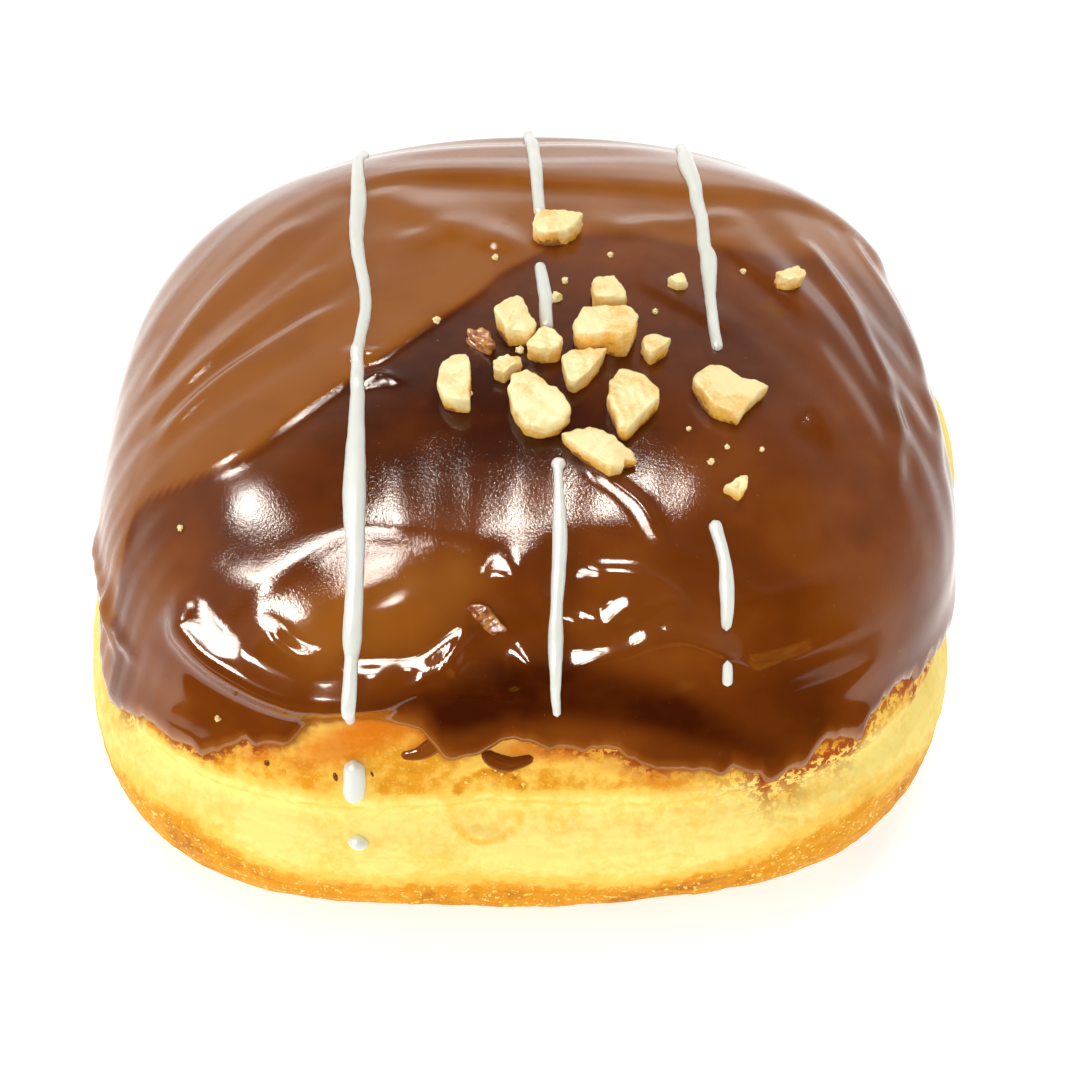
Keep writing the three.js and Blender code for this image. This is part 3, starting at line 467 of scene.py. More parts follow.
def mesh_object(name, points, faces):
    """A smooth mesh in the scene, from points in millimetres."""
    mesh = bpy.data.meshes.new(name)
    mesh.from_pydata((np.asarray(points) * MM).tolist(), [], faces)
    mesh.shade_smooth()
    mesh.validate()
    thing = bpy.data.objects.new(name, mesh)
    bpy.context.scene.collection.objects.link(thing)
    return thing


def with_poles(rings):
    """Rings of equally many values or points in one list, the first and last ring shrunk to one pole."""
    return np.concatenate([rings[0][:1], *rings[1:-1], rings[-1][:1]])


def closed_rings(rings):
    """Points and faces of a closed skin: rings of points between a first and a last pole."""
    points = with_poles(rings)
    columns = len(rings[1])
    count = len(rings) - 2
    here = np.arange(columns)
    after = (here + 1) % columns
    first = 1 + np.column_stack([here, after])
    faces = [(0, a, b) for a, b in first.tolist()]
    for ring in range(count - 1):
        top, low = 1 + ring * columns, 1 + (ring + 1) * columns
        faces += np.column_stack([top + here, low + here, low + after, top + after]).tolist()
    last, pole = first + (count - 1) * columns, len(points) - 1
    faces += [(a, pole, b) for a, b in last.tolist()]
    return points, faces


def paint(thing, name, values):
    """Keeps one number for each corner of a mesh, for its material to read."""
    attribute = thing.data.attributes.new(name, "FLOAT", "POINT")
    attribute.data.foreach_set("value", np.asarray(values, np.float32))


def read_floats(mesh, name):
    """The numbers that a mesh keeps under a name, one for each corner."""
    values = np.zeros(len(mesh.vertices), np.float32)
    mesh.attributes[name].data.foreach_get("value", values)
    return values.astype(float)


def finish_piece(thing, slot, *nodes):
    """Puts a piece on its body, in place of the solids that it dresses. The slot is not used."""
    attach(thing, BODY)
    if nodes:
        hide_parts(*nodes)
    return thing


class Tree:
    """A node tree being built: each call adds a node and gives back its output."""

    def __init__(self, tree):
        self.tree = tree

    def add(self, kind, inputs=None, out=0, **settings):
        node = self.tree.nodes.new(kind)
        for name, value in settings.items():
            setattr(node, name, value)
        for key, value in (inputs or {}).items():
            socket = node.inputs[key]
            if isinstance(value, bpy.types.NodeSocket):
                self.tree.links.new(value, socket)
            else:
                socket.default_value = value
        return node.outputs[out]

    def math(self, operation, a, b=0.0):
        return self.add("ShaderNodeMath", {0: a, 1: b}, operation=operation)

    def product(self, a, b):
        return self.math("MULTIPLY", a, b)

    def total(self, a, b):
        return self.math("ADD", a, b)

    def vectors(self, operation, a, b):
        return self.add("ShaderNodeVectorMath", {0: a, 1: b}, operation=operation)

    def scaled(self, vector, share):
        return self.add("ShaderNodeVectorMath", {0: vector, "Scale": share}, operation="SCALE")

    def split(self, vector):
        """The three parts of a vector."""
        node = self.tree.nodes.new("ShaderNodeSeparateXYZ")
        self.tree.links.new(vector, node.inputs[0])
        return node.outputs

    def mapped(self, value, low, high, to_low=0.0, to_high=1.0, smooth=True):
        """A value brought from one range to another."""
        ends = {"Value": value, "From Min": low, "From Max": high, "To Min": to_low, "To Max": to_high}
        style = "SMOOTHSTEP" if smooth else "LINEAR"
        return self.add("ShaderNodeMapRange", ends, interpolation_type=style)

    def noise(self, scale_mm, detail=2.0, roughness=0.5, at=None, stretch=None):
        """Noise whose lumps are about scale_mm across."""
        place = at if at is not None else self.place()
        if stretch:
            place = self.vectors("MULTIPLY", place, stretch)
        settings = {"Vector": place, "Scale": 1 / (scale_mm * MM), "Detail": detail, "Roughness": roughness}
        return self.add("ShaderNodeTexNoise", settings)


class Material(Tree):
    """A procedural material on Object coordinates, with its Principled shader."""

    def __init__(self, name):
        self.material = bpy.data.materials.new(name)
        self.material.use_nodes = True
        super().__init__(self.material.node_tree)
        self.shader = self.tree.nodes["Principled BSDF"]
        self.place_output = None

    def place(self):
        if self.place_output is None:
            self.place_output = self.add("ShaderNodeTexCoord", out="Object")
        return self.place_output

    def painted(self, name):
        return self.add("ShaderNodeAttribute", out="Fac", attribute_name=name)

    def blend(self, share, first, second):
        """Two colours mixed by a share."""
        node = self.tree.nodes.new("ShaderNodeMix")
        node.data_type = "RGBA"
        for socket, value in zip((node.inputs[0], node.inputs[6], node.inputs[7]), (share, first, second)):
            if isinstance(value, bpy.types.NodeSocket):
                self.tree.links.new(value, socket)
            elif isinstance(value, tuple):
                socket.default_value = (*value, 1)
            else:
                socket.default_value = value
        return node.outputs[2]

    def bump(self, height, depth_mm, strength=1.0, normal=None):
        settings = {"Height": height, "Distance": depth_mm * MM, "Strength": strength}
        if normal is not None:
            settings["Normal"] = normal
        return self.add("ShaderNodeBump", settings)

    def set(self, **sockets):
        """Puts numbers, colours and links on the shader's own sockets."""
        for name, value in sockets.items():
            socket = self.shader.inputs[name.replace("_", " ")]
            if isinstance(value, bpy.types.NodeSocket):
                self.tree.links.new(value, socket)
            elif isinstance(value, tuple) and len(value) == 3 and socket.type == "RGBA":
                socket.default_value = (*value, 1)
            else:
                socket.default_value = value
        return self.material


class Geometry(Tree):
    """A Geometry Nodes tree with named inputs, put on an object and turned into a plain mesh."""

    def __init__(self, name):
        super().__init__(bpy.data.node_groups.new(name, "GeometryNodeTree"))
        self.tree.interface.new_socket("Geometry", in_out="INPUT", socket_type="NodeSocketGeometry")
        self.tree.interface.new_socket("Geometry", in_out="OUTPUT", socket_type="NodeSocketGeometry")
        self.values = {}

    def place(self):
        return self.add("GeometryNodeInputPosition")

    def asked(self, name, kind, value):
        """A named input of the tree with its value for this object."""
        socket = self.tree.interface.new_socket(name, in_out="INPUT", socket_type="NodeSocket" + kind)
        self.values[socket.identifier] = value
        return self.group_input(name)

    def group_input(self, name="Geometry"):
        return self.tree.nodes.new("NodeGroupInput").outputs[name]

    def make(self, base, geometry, material, name):
        """Realizes the tree on the base object and keeps the result as a plain mesh."""
        real = self.add("GeometryNodeRealizeInstances", {"Geometry": geometry})
        dressed = self.add("GeometryNodeSetMaterial", {"Geometry": real, "Material": material})
        self.tree.links.new(dressed, self.tree.nodes.new("NodeGroupOutput").inputs[0])
        modifier = base.modifiers.new(self.tree.name, "NODES")
        modifier.node_group = self.tree
        for identifier, value in self.values.items():
            modifier[identifier] = value
        depsgraph = bpy.context.evaluated_depsgraph_get()
        mesh = bpy.data.meshes.new_from_object(base.evaluated_get(depsgraph), depsgraph=depsgraph)
        base.modifiers.remove(modifier)
        mesh.name = name
        thing = bpy.data.objects.new(name, mesh)
        bpy.context.scene.collection.objects.link(thing)
        bpy.data.objects.remove(base)
        return thing


# ------------------------------------------------------------------ camera, light and floor

VIEW_ELEVATION = 40.7  # degrees above the table
VIEW_DISTANCE = 400
VIEW_AIM = (0, 0, 20)
# The photograph in pixels: its side, its focal length, and where the aim falls in it.
PHOTO_SIDE = 1080
PHOTO_FOCAL = 3743
PHOTO_AIM = (521.5, 512.4)


def make_camera():
    """The camera that took the photograph, in front of the doughnut and looking down on it."""
    camera = bpy.data.cameras.new("camera")
    camera.sensor_width = 36
    camera.lens = PHOTO_FOCAL / PHOTO_SIDE * camera.sensor_width
    camera.shift_x = (PHOTO_SIDE / 2 - PHOTO_AIM[0]) / PHOTO_SIDE
    camera.shift_y = -(PHOTO_SIDE / 2 - PHOTO_AIM[1]) / PHOTO_SIDE
    camera.clip_start = 0.01
    camera.clip_end = 50
    thing = bpy.data.objects.new("camera", camera)
    bpy.context.scene.collection.objects.link(thing)
    angle = math.radians(VIEW_ELEVATION)
    aim = Vector(VIEW_AIM) + Vector(SHIFT)
    away = Vector((0, -math.cos(angle), math.sin(angle)))
    thing.location = (aim + away * VIEW_DISTANCE) * MM
    thing.rotation_euler = (math.pi / 2 - angle, 0, 0)
    bpy.context.scene.camera = thing


def area_light(name, place, aim, size, power, **seen):
    """A flat lamp that faces its aim, in metres and watts, and the kinds of ray that it is hidden from."""
    light = bpy.data.lights.new(name, "AREA")
    light.shape = "RECTANGLE"
    light.size, light.size_y = size
    light.energy = power
    thing = bpy.data.objects.new(name, light)
    thing.location = place
    thing.rotation_euler = (Vector(place) - Vector(aim)).to_track_quat("Z", "Y").to_euler()
    for ray, shown in seen.items():
        setattr(thing, f"visible_{ray}", shown)
    bpy.context.scene.collection.objects.link(thing)


def card(name, corners, colour, glow):
    """A flat mottled card that only shows in reflections: a dark flag, or a glowing one."""
    thing = mesh_object(name, corners, [(0, 1, 2, 3)])
    finish = Material(name)
    mottle = finish.mapped(finish.noise(14, 3, 0.6), 0.4, 0.62)
    shade = finish.blend(mottle, tuple(0.3 * c for c in colour), colour)
    thing.data.materials.append(finish.set(
        Base_Color=shade, Roughness=1.0, Specular_IOR_Level=0.0,
        Emission_Color=shade, Emission_Strength=glow))
    for ray in ("camera", "diffuse", "shadow", "transmission"):
        setattr(thing, f"visible_{ray}", False)


CEILING = 0.6  # metres to the windows overhead
# The windows overhead, which only show in reflections, by the directions that they span from the
# doughnut: degrees to the right of upright, degrees to the front, and radiance.
WINDOWS = {
    "left_window": ((-40, -34), (-25, -14), 55),
    "middle_window": ((-11, -7), (-19, -7), 60),
    "right_window": ((4.5, 7.5), (-18, -4), 75),
    "front_window": ((-46, -10), (-1, 13), 44),
    "fold_window": ((-17, -11), (15, 22), 44),
    "low_window": ((-40, -32), (16, 40), 80),
}
# Lamps that light the doughnut and don't show in reflections: place and size in metres, and watts.
SOFT_LAMPS = {
    "key": ((0.12, 0.22, 0.60), (0.30, 0.25), 2.0),
    "front_fill": ((0.0, -0.7, 0.35), (0.7, 0.5), 3.2),
    "left_fill": ((-0.6, -0.2, 0.2), (0.4, 0.3), 1.2),
    "right_fill": ((0.6, 0.0, 0.2), (0.4, 0.3), 0.2),
}
# Cards around the doughnut, in millimetres: corners, colour and glow.
DARK = (0.010, 0.005, 0.002)
GOLD = (0.50, 0.24, 0.03)
CARDS = {
    "dark_front": ([(-300, -150, 5), (300, -150, 5), (300, -150, 200), (-300, -150, 200)], DARK, 0.0),
    "dark_table": ([(-110, -300, 1), (130, -300, 1), (130, -52, 1), (-110, -52, 1)], DARK, 0.0),
    "golden_card": ([(40, -149, 12), (150, -149, 12), (150, -149, 75), (40, -149, 75)], GOLD, 4.0),
}
FLOOR_REACH = 3000


def make_studio():
    """A white sweep behind and at the sides, windows overhead, and a dark room in front."""
    world = bpy.data.worlds.new("studio")
    world.use_nodes = True
    bpy.context.scene.world = world
    sky = Tree(world.node_tree)
    right, back, up = sky.split(sky.add("ShaderNodeTexCoord", out="Generated"))
    below_ceiling = sky.mapped(up, 0.70, 0.86, 1, 0)
    behind = sky.mapped(back, -0.75, 0.0, 0.0, 1)
    dimmer_right = sky.mapped(right, -0.2, 0.9, 0.9, 0.7)
    near_table = sky.mapped(up, 0.0, 0.4, 1.6, 0.62)
    bright = sky.product(sky.product(below_ceiling, behind), dimmer_right)
    strength = sky.total(sky.product(bright, near_table), 0.1)
    background = world.node_tree.nodes["Background"]
    background.inputs["Color"].default_value = (1, 0.97, 0.92, 1)
    sky.tree.links.new(strength, background.inputs["Strength"])

    for name, (to_right, to_front, radiance) in WINDOWS.items():
        left_end, right_end = (CEILING * math.tan(math.radians(angle)) for angle in to_right)
        back_end, front_end = (-CEILING * math.tan(math.radians(angle)) for angle in to_front)
        size = (right_end - left_end, back_end - front_end)
        place = ((left_end + right_end) / 2, (back_end + front_end) / 2, CEILING)
        power = radiance * math.pi * size[0] * size[1]
        area_light(name, place, (*place[:2], 0), size, power, diffuse=False)
    for name, (place, size, power) in SOFT_LAMPS.items():
        area_light(name, place, (0, 0, 0.02), size, power, glossy=False)
    for name, (corners, colour, glow) in CARDS.items():
        card(name, corners, colour, glow)

    corners = [(x * FLOOR_REACH, y * FLOOR_REACH, 0) for x, y in ((-1, -1), (1, -1), (1, 1), (-1, 1))]
    floor = mesh_object("floor", corners, [(0, 1, 2, 3)])
    plain = Material("floor_white")
    grain = plain.noise(40, 1)
    floor.data.materials.append(plain.set(
        Base_Color=plain.blend(grain, (0.70, 0.70, 0.69), (0.72, 0.72, 0.71)), Roughness=0.7,
        Emission_Color=(0.92, 0.97, 1.0), Emission_Strength=0.6))


# ------------------------------------------------------------------ finishes


def dough_material():
    """Fried dough: pale belt to brown rim by how much it was baked, with a painted shade along the waist
    crease, and stained by the icing.
    """
    finish = Material("fried_dough")
    bake, film, stain, crumble = (finish.painted(name) for name in ("bake", "film", "stain", "crumble"))
    patchy = finish.noise(9, 4, 0.6)
    fine = finish.noise(1.1, 3, 0.6)
    tone = finish.total(bake, finish.mapped(patchy, 0.3, 0.7, -0.13, 0.13))
    tone = finish.total(tone, finish.mapped(fine, 0.35, 0.65, -0.07, 0.07))
    pale, golden = (0.95, 0.76, 0.22), (0.93, 0.57, 0.09)
    brown, dark = (0.74, 0.30, 0.004), (0.36, 0.08, 0.001)
    colour = finish.blend(finish.mapped(tone, 0.0, 0.38), pale, golden)
    colour = finish.blend(finish.mapped(tone, 0.38, 0.66), colour, brown)
    colour = finish.blend(finish.mapped(tone, 0.66, 1.0), colour, dark)
    # light sugar-like specks where it is baked darkest
    speck = finish.mapped(finish.noise(0.55, 2, 0.6), 0.58, 0.66)
    baked = finish.mapped(bake, 0.35, 0.7)
    colour = finish.blend(finish.product(speck, baked), colour, (0.95, 0.62, 0.14))
    # chocolate soaked in, in loose crumbs, and as a thin film along the icing's edge
    colour = finish.blend(stain, colour, (0.68, 0.15, 0.002))
    crumb = finish.mapped(finish.noise(0.9, 4, 0.7), 0.46, 0.52)
    colour = finish.blend(finish.product(crumb, crumble), colour, (0.40, 0.075, 0.002))
    colour = finish.blend(film, colour, (0.30, 0.04, 0.003))
    pores = finish.noise(0.55, 3, 0.7)
    skin = finish.noise(2.6, 3, 0.55)
    normal = finish.bump(pores, 0.07, 0.7)
    normal = finish.bump(skin, 0.25, 0.6, normal)
    roughness = finish.mapped(finish.math("MAXIMUM", film, stain), 0, 1, 0.55, 0.28)
    return finish.set(
        Base_Color=colour, Roughness=roughness, Normal=normal, Specular_IOR_Level=0.12,
        Subsurface_Weight=0.12, Subsurface_Radius=(1.0, 0.5, 0.2), Subsurface_Scale=0.002)


def icing_material():
    """Set chocolate icing: milky to dark by its tone, partly its own colour and partly painted reflection of
    the room, satin grain where it is dry.
    """
    finish = Material("chocolate_icing")
    tone = finish.painted("tone")
    wet = finish.painted("wet")
    cloud = finish.noise(9, 3, 0.55)
    speck = finish.noise(0.5, 2, 0.6)
    tone = finish.total(tone, finish.mapped(cloud, 0.3, 0.7, -0.12, 0.12))
    # the milky colour also stands for painted reflection of the bright sweep, and the dark one for painted
    # reflection of the dark room
    dark, brown, milky = (0.050, 0.007, 0.0006), (0.175, 0.038, 0.003), (0.31, 0.094, 0.010)
    colour = finish.blend(finish.mapped(tone, 0, 0.5, smooth=False), dark, brown)
    colour = finish.blend(finish.mapped(tone, 0.5, 1, smooth=False), colour, milky)
    colour = finish.blend(finish.mapped(speck, 0.72, 0.8), colour, (0.30, 0.08, 0.006))
    grain = finish.noise(0.32, 2, 0.7)
    tiny = finish.noise(0.14, 1, 0.5)
    rough_skin = finish.mapped(wet, 0, 1, 1, 0.12)
    normal = finish.bump(grain, 0.012, rough_skin)
    normal = finish.bump(tiny, 0.006, rough_skin, normal)
    roughness = finish.mapped(wet, 0, 1, 0.1, 0.08)
    return finish.set(
        Base_Color=colour, Roughness=roughness, Normal=normal, Specular_Tint=(1.0, 0.88, 0.74),
        IOR=1.35, Coat_Weight=0.3, Coat_Roughness=0.06, Coat_IOR=1.4, Coat_Normal=normal)


def white_icing_material():
    """Set white sugar icing, a little cloudy."""
    finish = Material("white_icing")
    cloud = finish.noise(2.5, 2)
    colour = finish.blend(cloud, (0.74, 0.76, 0.68), (0.80, 0.82, 0.76))
    normal = finish.bump(finish.noise(0.5, 2), 0.02, 0.5)
    return finish.set(
        Base_Color=colour, Roughness=0.35, Normal=normal,
        Subsurface_Weight=0.15, Subsurface_Radius=(1, 0.9, 0.7), Subsurface_Scale=0.001)


def nut_material():
    """Chopped roasted nut: cream on its broken faces, golden down its sides and dark at its base, partly
    roasted colour and partly painted shade.
    """
    finish = Material("chopped_nut")
    pale, golden, burnt_and_shaded = (0.97, 0.80, 0.38), (0.90, 0.47, 0.05), (0.33, 0.11, 0.012)
    toast = finish.painted("toast")
    blotch = finish.noise(3.0, 2, 0.5)
    grain = finish.noise(0.45, 3, 0.7)
    tone = finish.total(toast, finish.mapped(blotch, 0.35, 0.7, -0.3, 0.45))
    tone = finish.total(tone, finish.mapped(grain, 0.35, 0.65, -0.15, 0.15))
    colour = finish.blend(finish.mapped(tone, 0.0, 1.0), pale, golden)
    # darkest near the base: partly roasted colour, partly painted shade where it meets the icing
    colour = finish.blend(finish.mapped(tone, 0.95, 1.3), colour, burnt_and_shaded)
    normal = finish.bump(grain, 0.09, 0.8)
    return finish.set(
        Base_Color=colour, Roughness=0.55, Normal=normal,
        Subsurface_Weight=0.15, Subsurface_Radius=(1, 0.7, 0.3), Subsurface_Scale=0.001)


def nut_skin_material():
    """The thin shiny skin of the nut, red-brown with lighter spots."""
    finish = Material("nut_skin")
    blotch = finish.noise(0.9, 3, 0.6)
    colour = finish.blend(finish.mapped(blotch, 0.35, 0.68), (0.20, 0.035, 0.006), (0.62, 0.27, 0.06))
    normal = finish.bump(finish.noise(0.4, 3, 0.7), 0.08, 0.8)
    return finish.set(Base_Color=colour, Roughness=0.3, Normal=normal)


# ------------------------------------------------------------------ dough

DOUGH_COLUMNS = 340
DOUGH_RINGS = 250
HIDDEN_SKIN = 44  # millimetres down the skin that the icing hides all round, with few rings
SHOWN_SKIN = 42  # and from there on to the base, where most of the rings are


def profile_curve():
    """The side profile as a curve that the dough's rule reads."""
    curve = bpy.data.curves.new("profile", "CURVE")
    curve.dimensions = "3D"
    spline = curve.splines.new("POLY")
    spline.points.add(len(PROFILE) - 1)
    for point, (share, z) in zip(spline.points, PROFILE):
        point.co = (share * HALF_WIDTH * MM, 0, z * MM, 1)
    profile = bpy.data.objects.new("profile", curve)
    bpy.context.scene.collection.objects.link(profile)
    return profile


def make_dough(material):
    """The pillow by its rule: a sheet of turns and falls, laid on the profile and swept round the plan."""
    profile = profile_curve()
    rule = Geometry("dough_pillow")
    profile_in = rule.asked("Profile", "Object", profile)
    columns = rule.asked("Columns", "Int", DOUGH_COLUMNS)
    rings = rule.asked("Rings", "Int", DOUGH_RINGS)
    half_width = rule.asked("Half width", "Float", HALF_WIDTH * MM)
    half_depth = rule.asked("Half depth", "Float", HALF_DEPTH * MM)
    squareness = rule.asked("Squareness", "Float", SQUARENESS)
    crown = rule.asked("Crown height", "Float", CROWN_HEIGHT * MM)
    waist = rule.asked("Waist height", "Float", WAIST_HEIGHT * MM)
    lean = rule.asked("Crown lean", "Vector", (CROWN_LEAN[0] * MM, CROWN_LEAN[1] * MM, 0))
    corner_share = rule.asked("Corner share", "Float", CORNER["share"])
    blisters = rule.asked("Blister height", "Float", 0.16 * MM)
    wrinkles = rule.asked("Wrinkle height", "Float", 0.10 * MM)
    seed = rule.asked("Seed", "Float", 4.0)

    sheet = rule.tree.nodes.new("GeometryNodeMeshGrid")
    rule.tree.links.new(columns, sheet.inputs["Vertices X"])
    rule.tree.links.new(rings, sheet.inputs["Vertices Y"])
    across_sheet, down_sheet, _ = rule.split(sheet.outputs["UV Map"])
    turn = rule.product(across_sheet, 2 * math.pi)
    hidden, shown = HIDDEN_SKIN / SKIN_LENGTH, SHOWN_SKIN / SKIN_LENGTH
    rest = 1 - hidden - shown
    fall = rule.mapped(down_sheet, 0, 0.1, 0, hidden, smooth=False)
    fall = rule.total(fall, rule.mapped(down_sheet, 0.1, 0.9, 0, shown, smooth=False))
    fall = rule.total(fall, rule.mapped(down_sheet, 0.9, 1, 0, rest, smooth=False))

    line = rule.add("GeometryNodeObjectInfo", {"Object": profile_in}, out="Geometry")
    line = rule.add("GeometryNodeCurveSplineType", {"Curve": line}, spline_type="CATMULL_ROM")
    line = rule.add("GeometryNodeSetSplineResolution", {"Geometry": line, "Resolution": PROFILE_STEPS})
    at = rule.add("GeometryNodeSampleCurve", {"Curves": line, "Factor": fall}, out="Position", mode="FACTOR")
    off_axis, _, z = rule.split(at)
    share = rule.math("DIVIDE", off_axis, half_width)

    # the plan: a rounded square with uneven lobes
    cosine, sine = rule.math("COSINE", turn), rule.math("SINE", turn)
    across = rule.math("POWER", rule.math("ABSOLUTE", rule.math("DIVIDE", cosine, half_width)), squareness)
    along = rule.math("POWER", rule.math("ABSOLUTE", rule.math("DIVIDE", sine, half_depth)), squareness)
    radius = rule.math("POWER", rule.total(across, along), rule.math("DIVIDE", -1.0, squareness))
    wobble = 1.0
    for lobes, of_cosine, of_sine in PLAN_WOBBLE:
        angle = rule.product(turn, lobes)
        for part, weight in (("COSINE", of_cosine), ("SINE", of_sine)):
            wobble = rule.total(wobble, rule.product(rule.math(part, angle), weight))
    radius = rule.product(rule.product(radius, wobble), share)

    # the swell of the lower half at one corner, and the lean of the crown
    apart = rule.math("SUBTRACT", rule.math("COSINE", rule.math("SUBTRACT", turn, CORNER["turn"])), 1.0)
    near = rule.math("EXPONENT", rule.product(apart, 2 / CORNER["reach"] ** 2))
    lower = rule.mapped(z, CORNER["below"] * MM, CORNER["above"] * MM, corner_share, 0)
    radius = rule.product(radius, rule.total(1.0, rule.product(near, lower)))
    raised = rule.mapped(z, waist, crown, smooth=False)
    upright = rule.add("ShaderNodeCombineXYZ", {
        0: rule.product(radius, cosine), 1: rule.product(radius, sine), 2: z})
    place = rule.vectors("ADD", upright, rule.scaled(lean, raised))

    skin = sheet.outputs[0]
    for name, value in (("turn", turn), ("fall", rule.product(fall, SKIN_LENGTH))):
        kept = {"Geometry": skin, "Name": name, "Value": value}
        skin = rule.add("GeometryNodeStoreNamedAttribute", kept, data_type="FLOAT", domain="POINT")
    skin = rule.add("GeometryNodeSetPosition", {"Geometry": skin, "Position": place})
    skin = rule.add("GeometryNodeMergeByDistance", {"Geometry": skin, "Distance": 1e-6})

    # fried skin: broad blisters and fine wrinkles that run round the side
    here = rule.place()
    moved = rule.vectors("ADD", here, rule.add("ShaderNodeCombineXYZ", {2: seed}))
    blister = rule.mapped(rule.noise(3.2, 2, 0.5, at=moved), 0.35, 0.75, -0.4, 1)
    wrinkle = rule.mapped(rule.noise(1.6, 3, 0.6, at=moved, stretch=(0.5, 0.5, 1.5)), 0.3, 0.7, -1, 1)
    height = rule.total(rule.product(blister, blisters), rule.product(wrinkle, wrinkles))
    off_floor = rule.mapped(rule.split(here)[2], 0.6 * MM, 3 * MM)
    push = rule.scaled(rule.add("GeometryNodeInputNormal"), rule.product(height, off_floor))
    skin = rule.add("GeometryNodeSetPosition", {"Geometry": skin, "Offset": push})
    skin = rule.add("GeometryNodeSetShadeSmooth", {"Geometry": skin})

    seed_point = mesh_object("dough_seed", np.zeros((1, 3)), [])
    dough = rule.make(seed_point, skin, material, "fried_dough")
    bpy.data.objects.remove(profile)
    shape_dough(dough)
    return finish_piece(dough, "dough", "dough")


# The half-round mark where the filling went in, and how wide its outline is as a share of its reach.
POUCH = {"at": (-4.9, -60.9), "reach": (5.4, 4.6), "line": 0.07}
WAIST_FALL = 61.0  # millimetres down the skin to the crease
WAIST_LINE = 0.5
CAP_FALL = 58.4  # to where the browned cap gives way to the pale belt
CAP_FADE = 2
RIM_FALL = 68.6  # and to the brown rim of the base
RIM_FADE = 5.5
FRONT_FROM, FRONT_FADE = 20, 25  # where the front of the cap begins to be baked more
# How much each place is baked, 0 to about 1: the belt, the cap and more at its front, and the rim.
BELT_BAKE = 0.10
CAP_BAKE = 0.2
FRONT_BAKE = 0.2
RIM_BAKE = 0.62
POUCH_BAKE = 0.10  # inside the filling mark
POUCH_LINE_BAKE = 0.32  # and along its outline
# a darker line along the waist crease: painted shade
WAIST_CREASE_SHADE = 0.12
FILM = 0.9  # how much chocolate lies on the dough beside the icing
FILM_REACH = 0.4
CRUMBS_REACH = 3.2  # how far the crumbs of icing lie, in times the raggedness of its edge
# Where the brown rim reaches higher: (degrees round, reach in degrees, millimetres).
BAKED_CORNERS = [(226, 15, 4.5), (316, 17, 3.5)]
# Where thin icing or fat stained the dough: (middle, reach, amount).
STAINS = [
    ((-19.5, -48.6), (8.5, 2.4), 0.75),
    ((-12, -51.6), (3, 1.6), 0.6),
    ((2, -54.2), (7, 1.4), 0.7),
    ((-31.4, -46.4), (1.8, 1.3), 0.6),
    ((16, -55), (7, 1.3), 0.35),
]


def shape_dough(dough):
    """Gives the pillow its swells and the filling mark, and says how each place is baked and stained."""
    mesh = dough.data
    points = np.zeros(len(mesh.vertices) * 3)
    mesh.vertices.foreach_get("co", points)
    points = points.reshape(-1, 3) / MM
    turn, fall = read_floats(mesh, "turn"), read_floats(mesh, "fall")
    # where the sheet closes on the right, its first and last columns became one and half a turn stands
    # there, the average of none and a whole one
    on_right = points[:, 0] > 5
    turn[on_right & (np.abs(turn - np.pi) < 0.1)] = 0
    points += skin_normal(turn, fall) * dough_relief(turn, fall)[:, None]
    points[:, 2] = np.maximum(points[:, 2], 0)
    points += SHIFT
    mesh.vertices.foreach_set("co", (points * MM).ravel())

    below_icing = fall - ragged_edge(turn)
    paint(dough, "bake", baking_and_crease_shade(turn, fall))
    paint(dough, "film", FILM * np.exp(-np.maximum(below_icing + 0.2, 0) / FILM_REACH))
    paint(dough, "stain", stain_share(turn, fall))
    paint(dough, "crumble", crumble_share(turn, below_icing))
    for name in ("turn", "fall"):
        mesh.attributes.remove(mesh.attributes[name])
    mesh.update()


def soft_patch(right, back, middle, reach):
    """1 within a flat-topped oval patch of the skin, and 0 outside it."""
    (x, y), (reach_x, reach_y) = middle, reach
    return np.exp(-(((right - x) / reach_x) ** 2 + ((back - y) / reach_y) ** 2) ** 2)


def baking_and_crease_shade(turn, fall):
    """How brown the dough is: baked most at its rim, then on its cap, darker along the filling mark's
    outline, and with a painted shade along the waist crease.
    """
    right, back = fall * np.cos(turn), fall * np.sin(turn)
    cap = 1 - smooth_step((fall - CAP_FALL) / CAP_FADE)
    front = smooth_step((-back - FRONT_FROM) / FRONT_FADE)
    rim_fall = np.full(turn.shape, RIM_FALL)
    for middle, reach, rise in BAKED_CORNERS:
        rim_fall -= rise * np.exp(-(((np.degrees(turn) % 360 - middle) / reach) ** 2))
    uneven = 0.6 * np.sin(7 * turn + 1)
    rim = smooth_step((fall - rim_fall + uneven) / RIM_FADE)
    bake = BELT_BAKE + cap * (CAP_BAKE + FRONT_BAKE * front) + RIM_BAKE * rim

    (x, y), (reach_x, reach_y) = POUCH["at"], POUCH["reach"]
    from_middle = np.hypot((right - x) / reach_x, (back - y) / reach_y)
    bake = bake + POUCH_BAKE * smooth_step((1.1 - from_middle) / 0.2)
    bake = bake + POUCH_LINE_BAKE * np.exp(-(((from_middle - 1) / POUCH["line"]) ** 2))
    # painted shade along the waist crease
    return bake + WAIST_CREASE_SHADE * np.exp(-(((fall - WAIST_FALL) / WAIST_LINE) ** 2))


def stain_share(turn, fall):
    """How much chocolate and fat soaked into the dough."""
    right, back = fall * np.cos(turn), fall * np.sin(turn)
    stain = np.zeros(turn.shape)
    for middle, reach, amount in STAINS:
        stain = np.maximum(stain, amount * soft_patch(right, back, middle, reach))
    return stain


def crumble_share(turn, below_icing):
    """How thick the crumbs of icing lie along its ragged edge: thickest where it is most broken."""
    crumble = np.zeros(turn.shape)
    for middle, reach, size in RAGGED:
        near = np.exp(-(((np.degrees(turn) % 360 - middle) / reach) ** 2))
        crumble = np.maximum(crumble, near * np.exp(-((below_icing / (CRUMBS_REACH * size)) ** 2)))
    return np.minimum(1.6 * crumble, 1)


# ------------------------------------------------------------------ icing

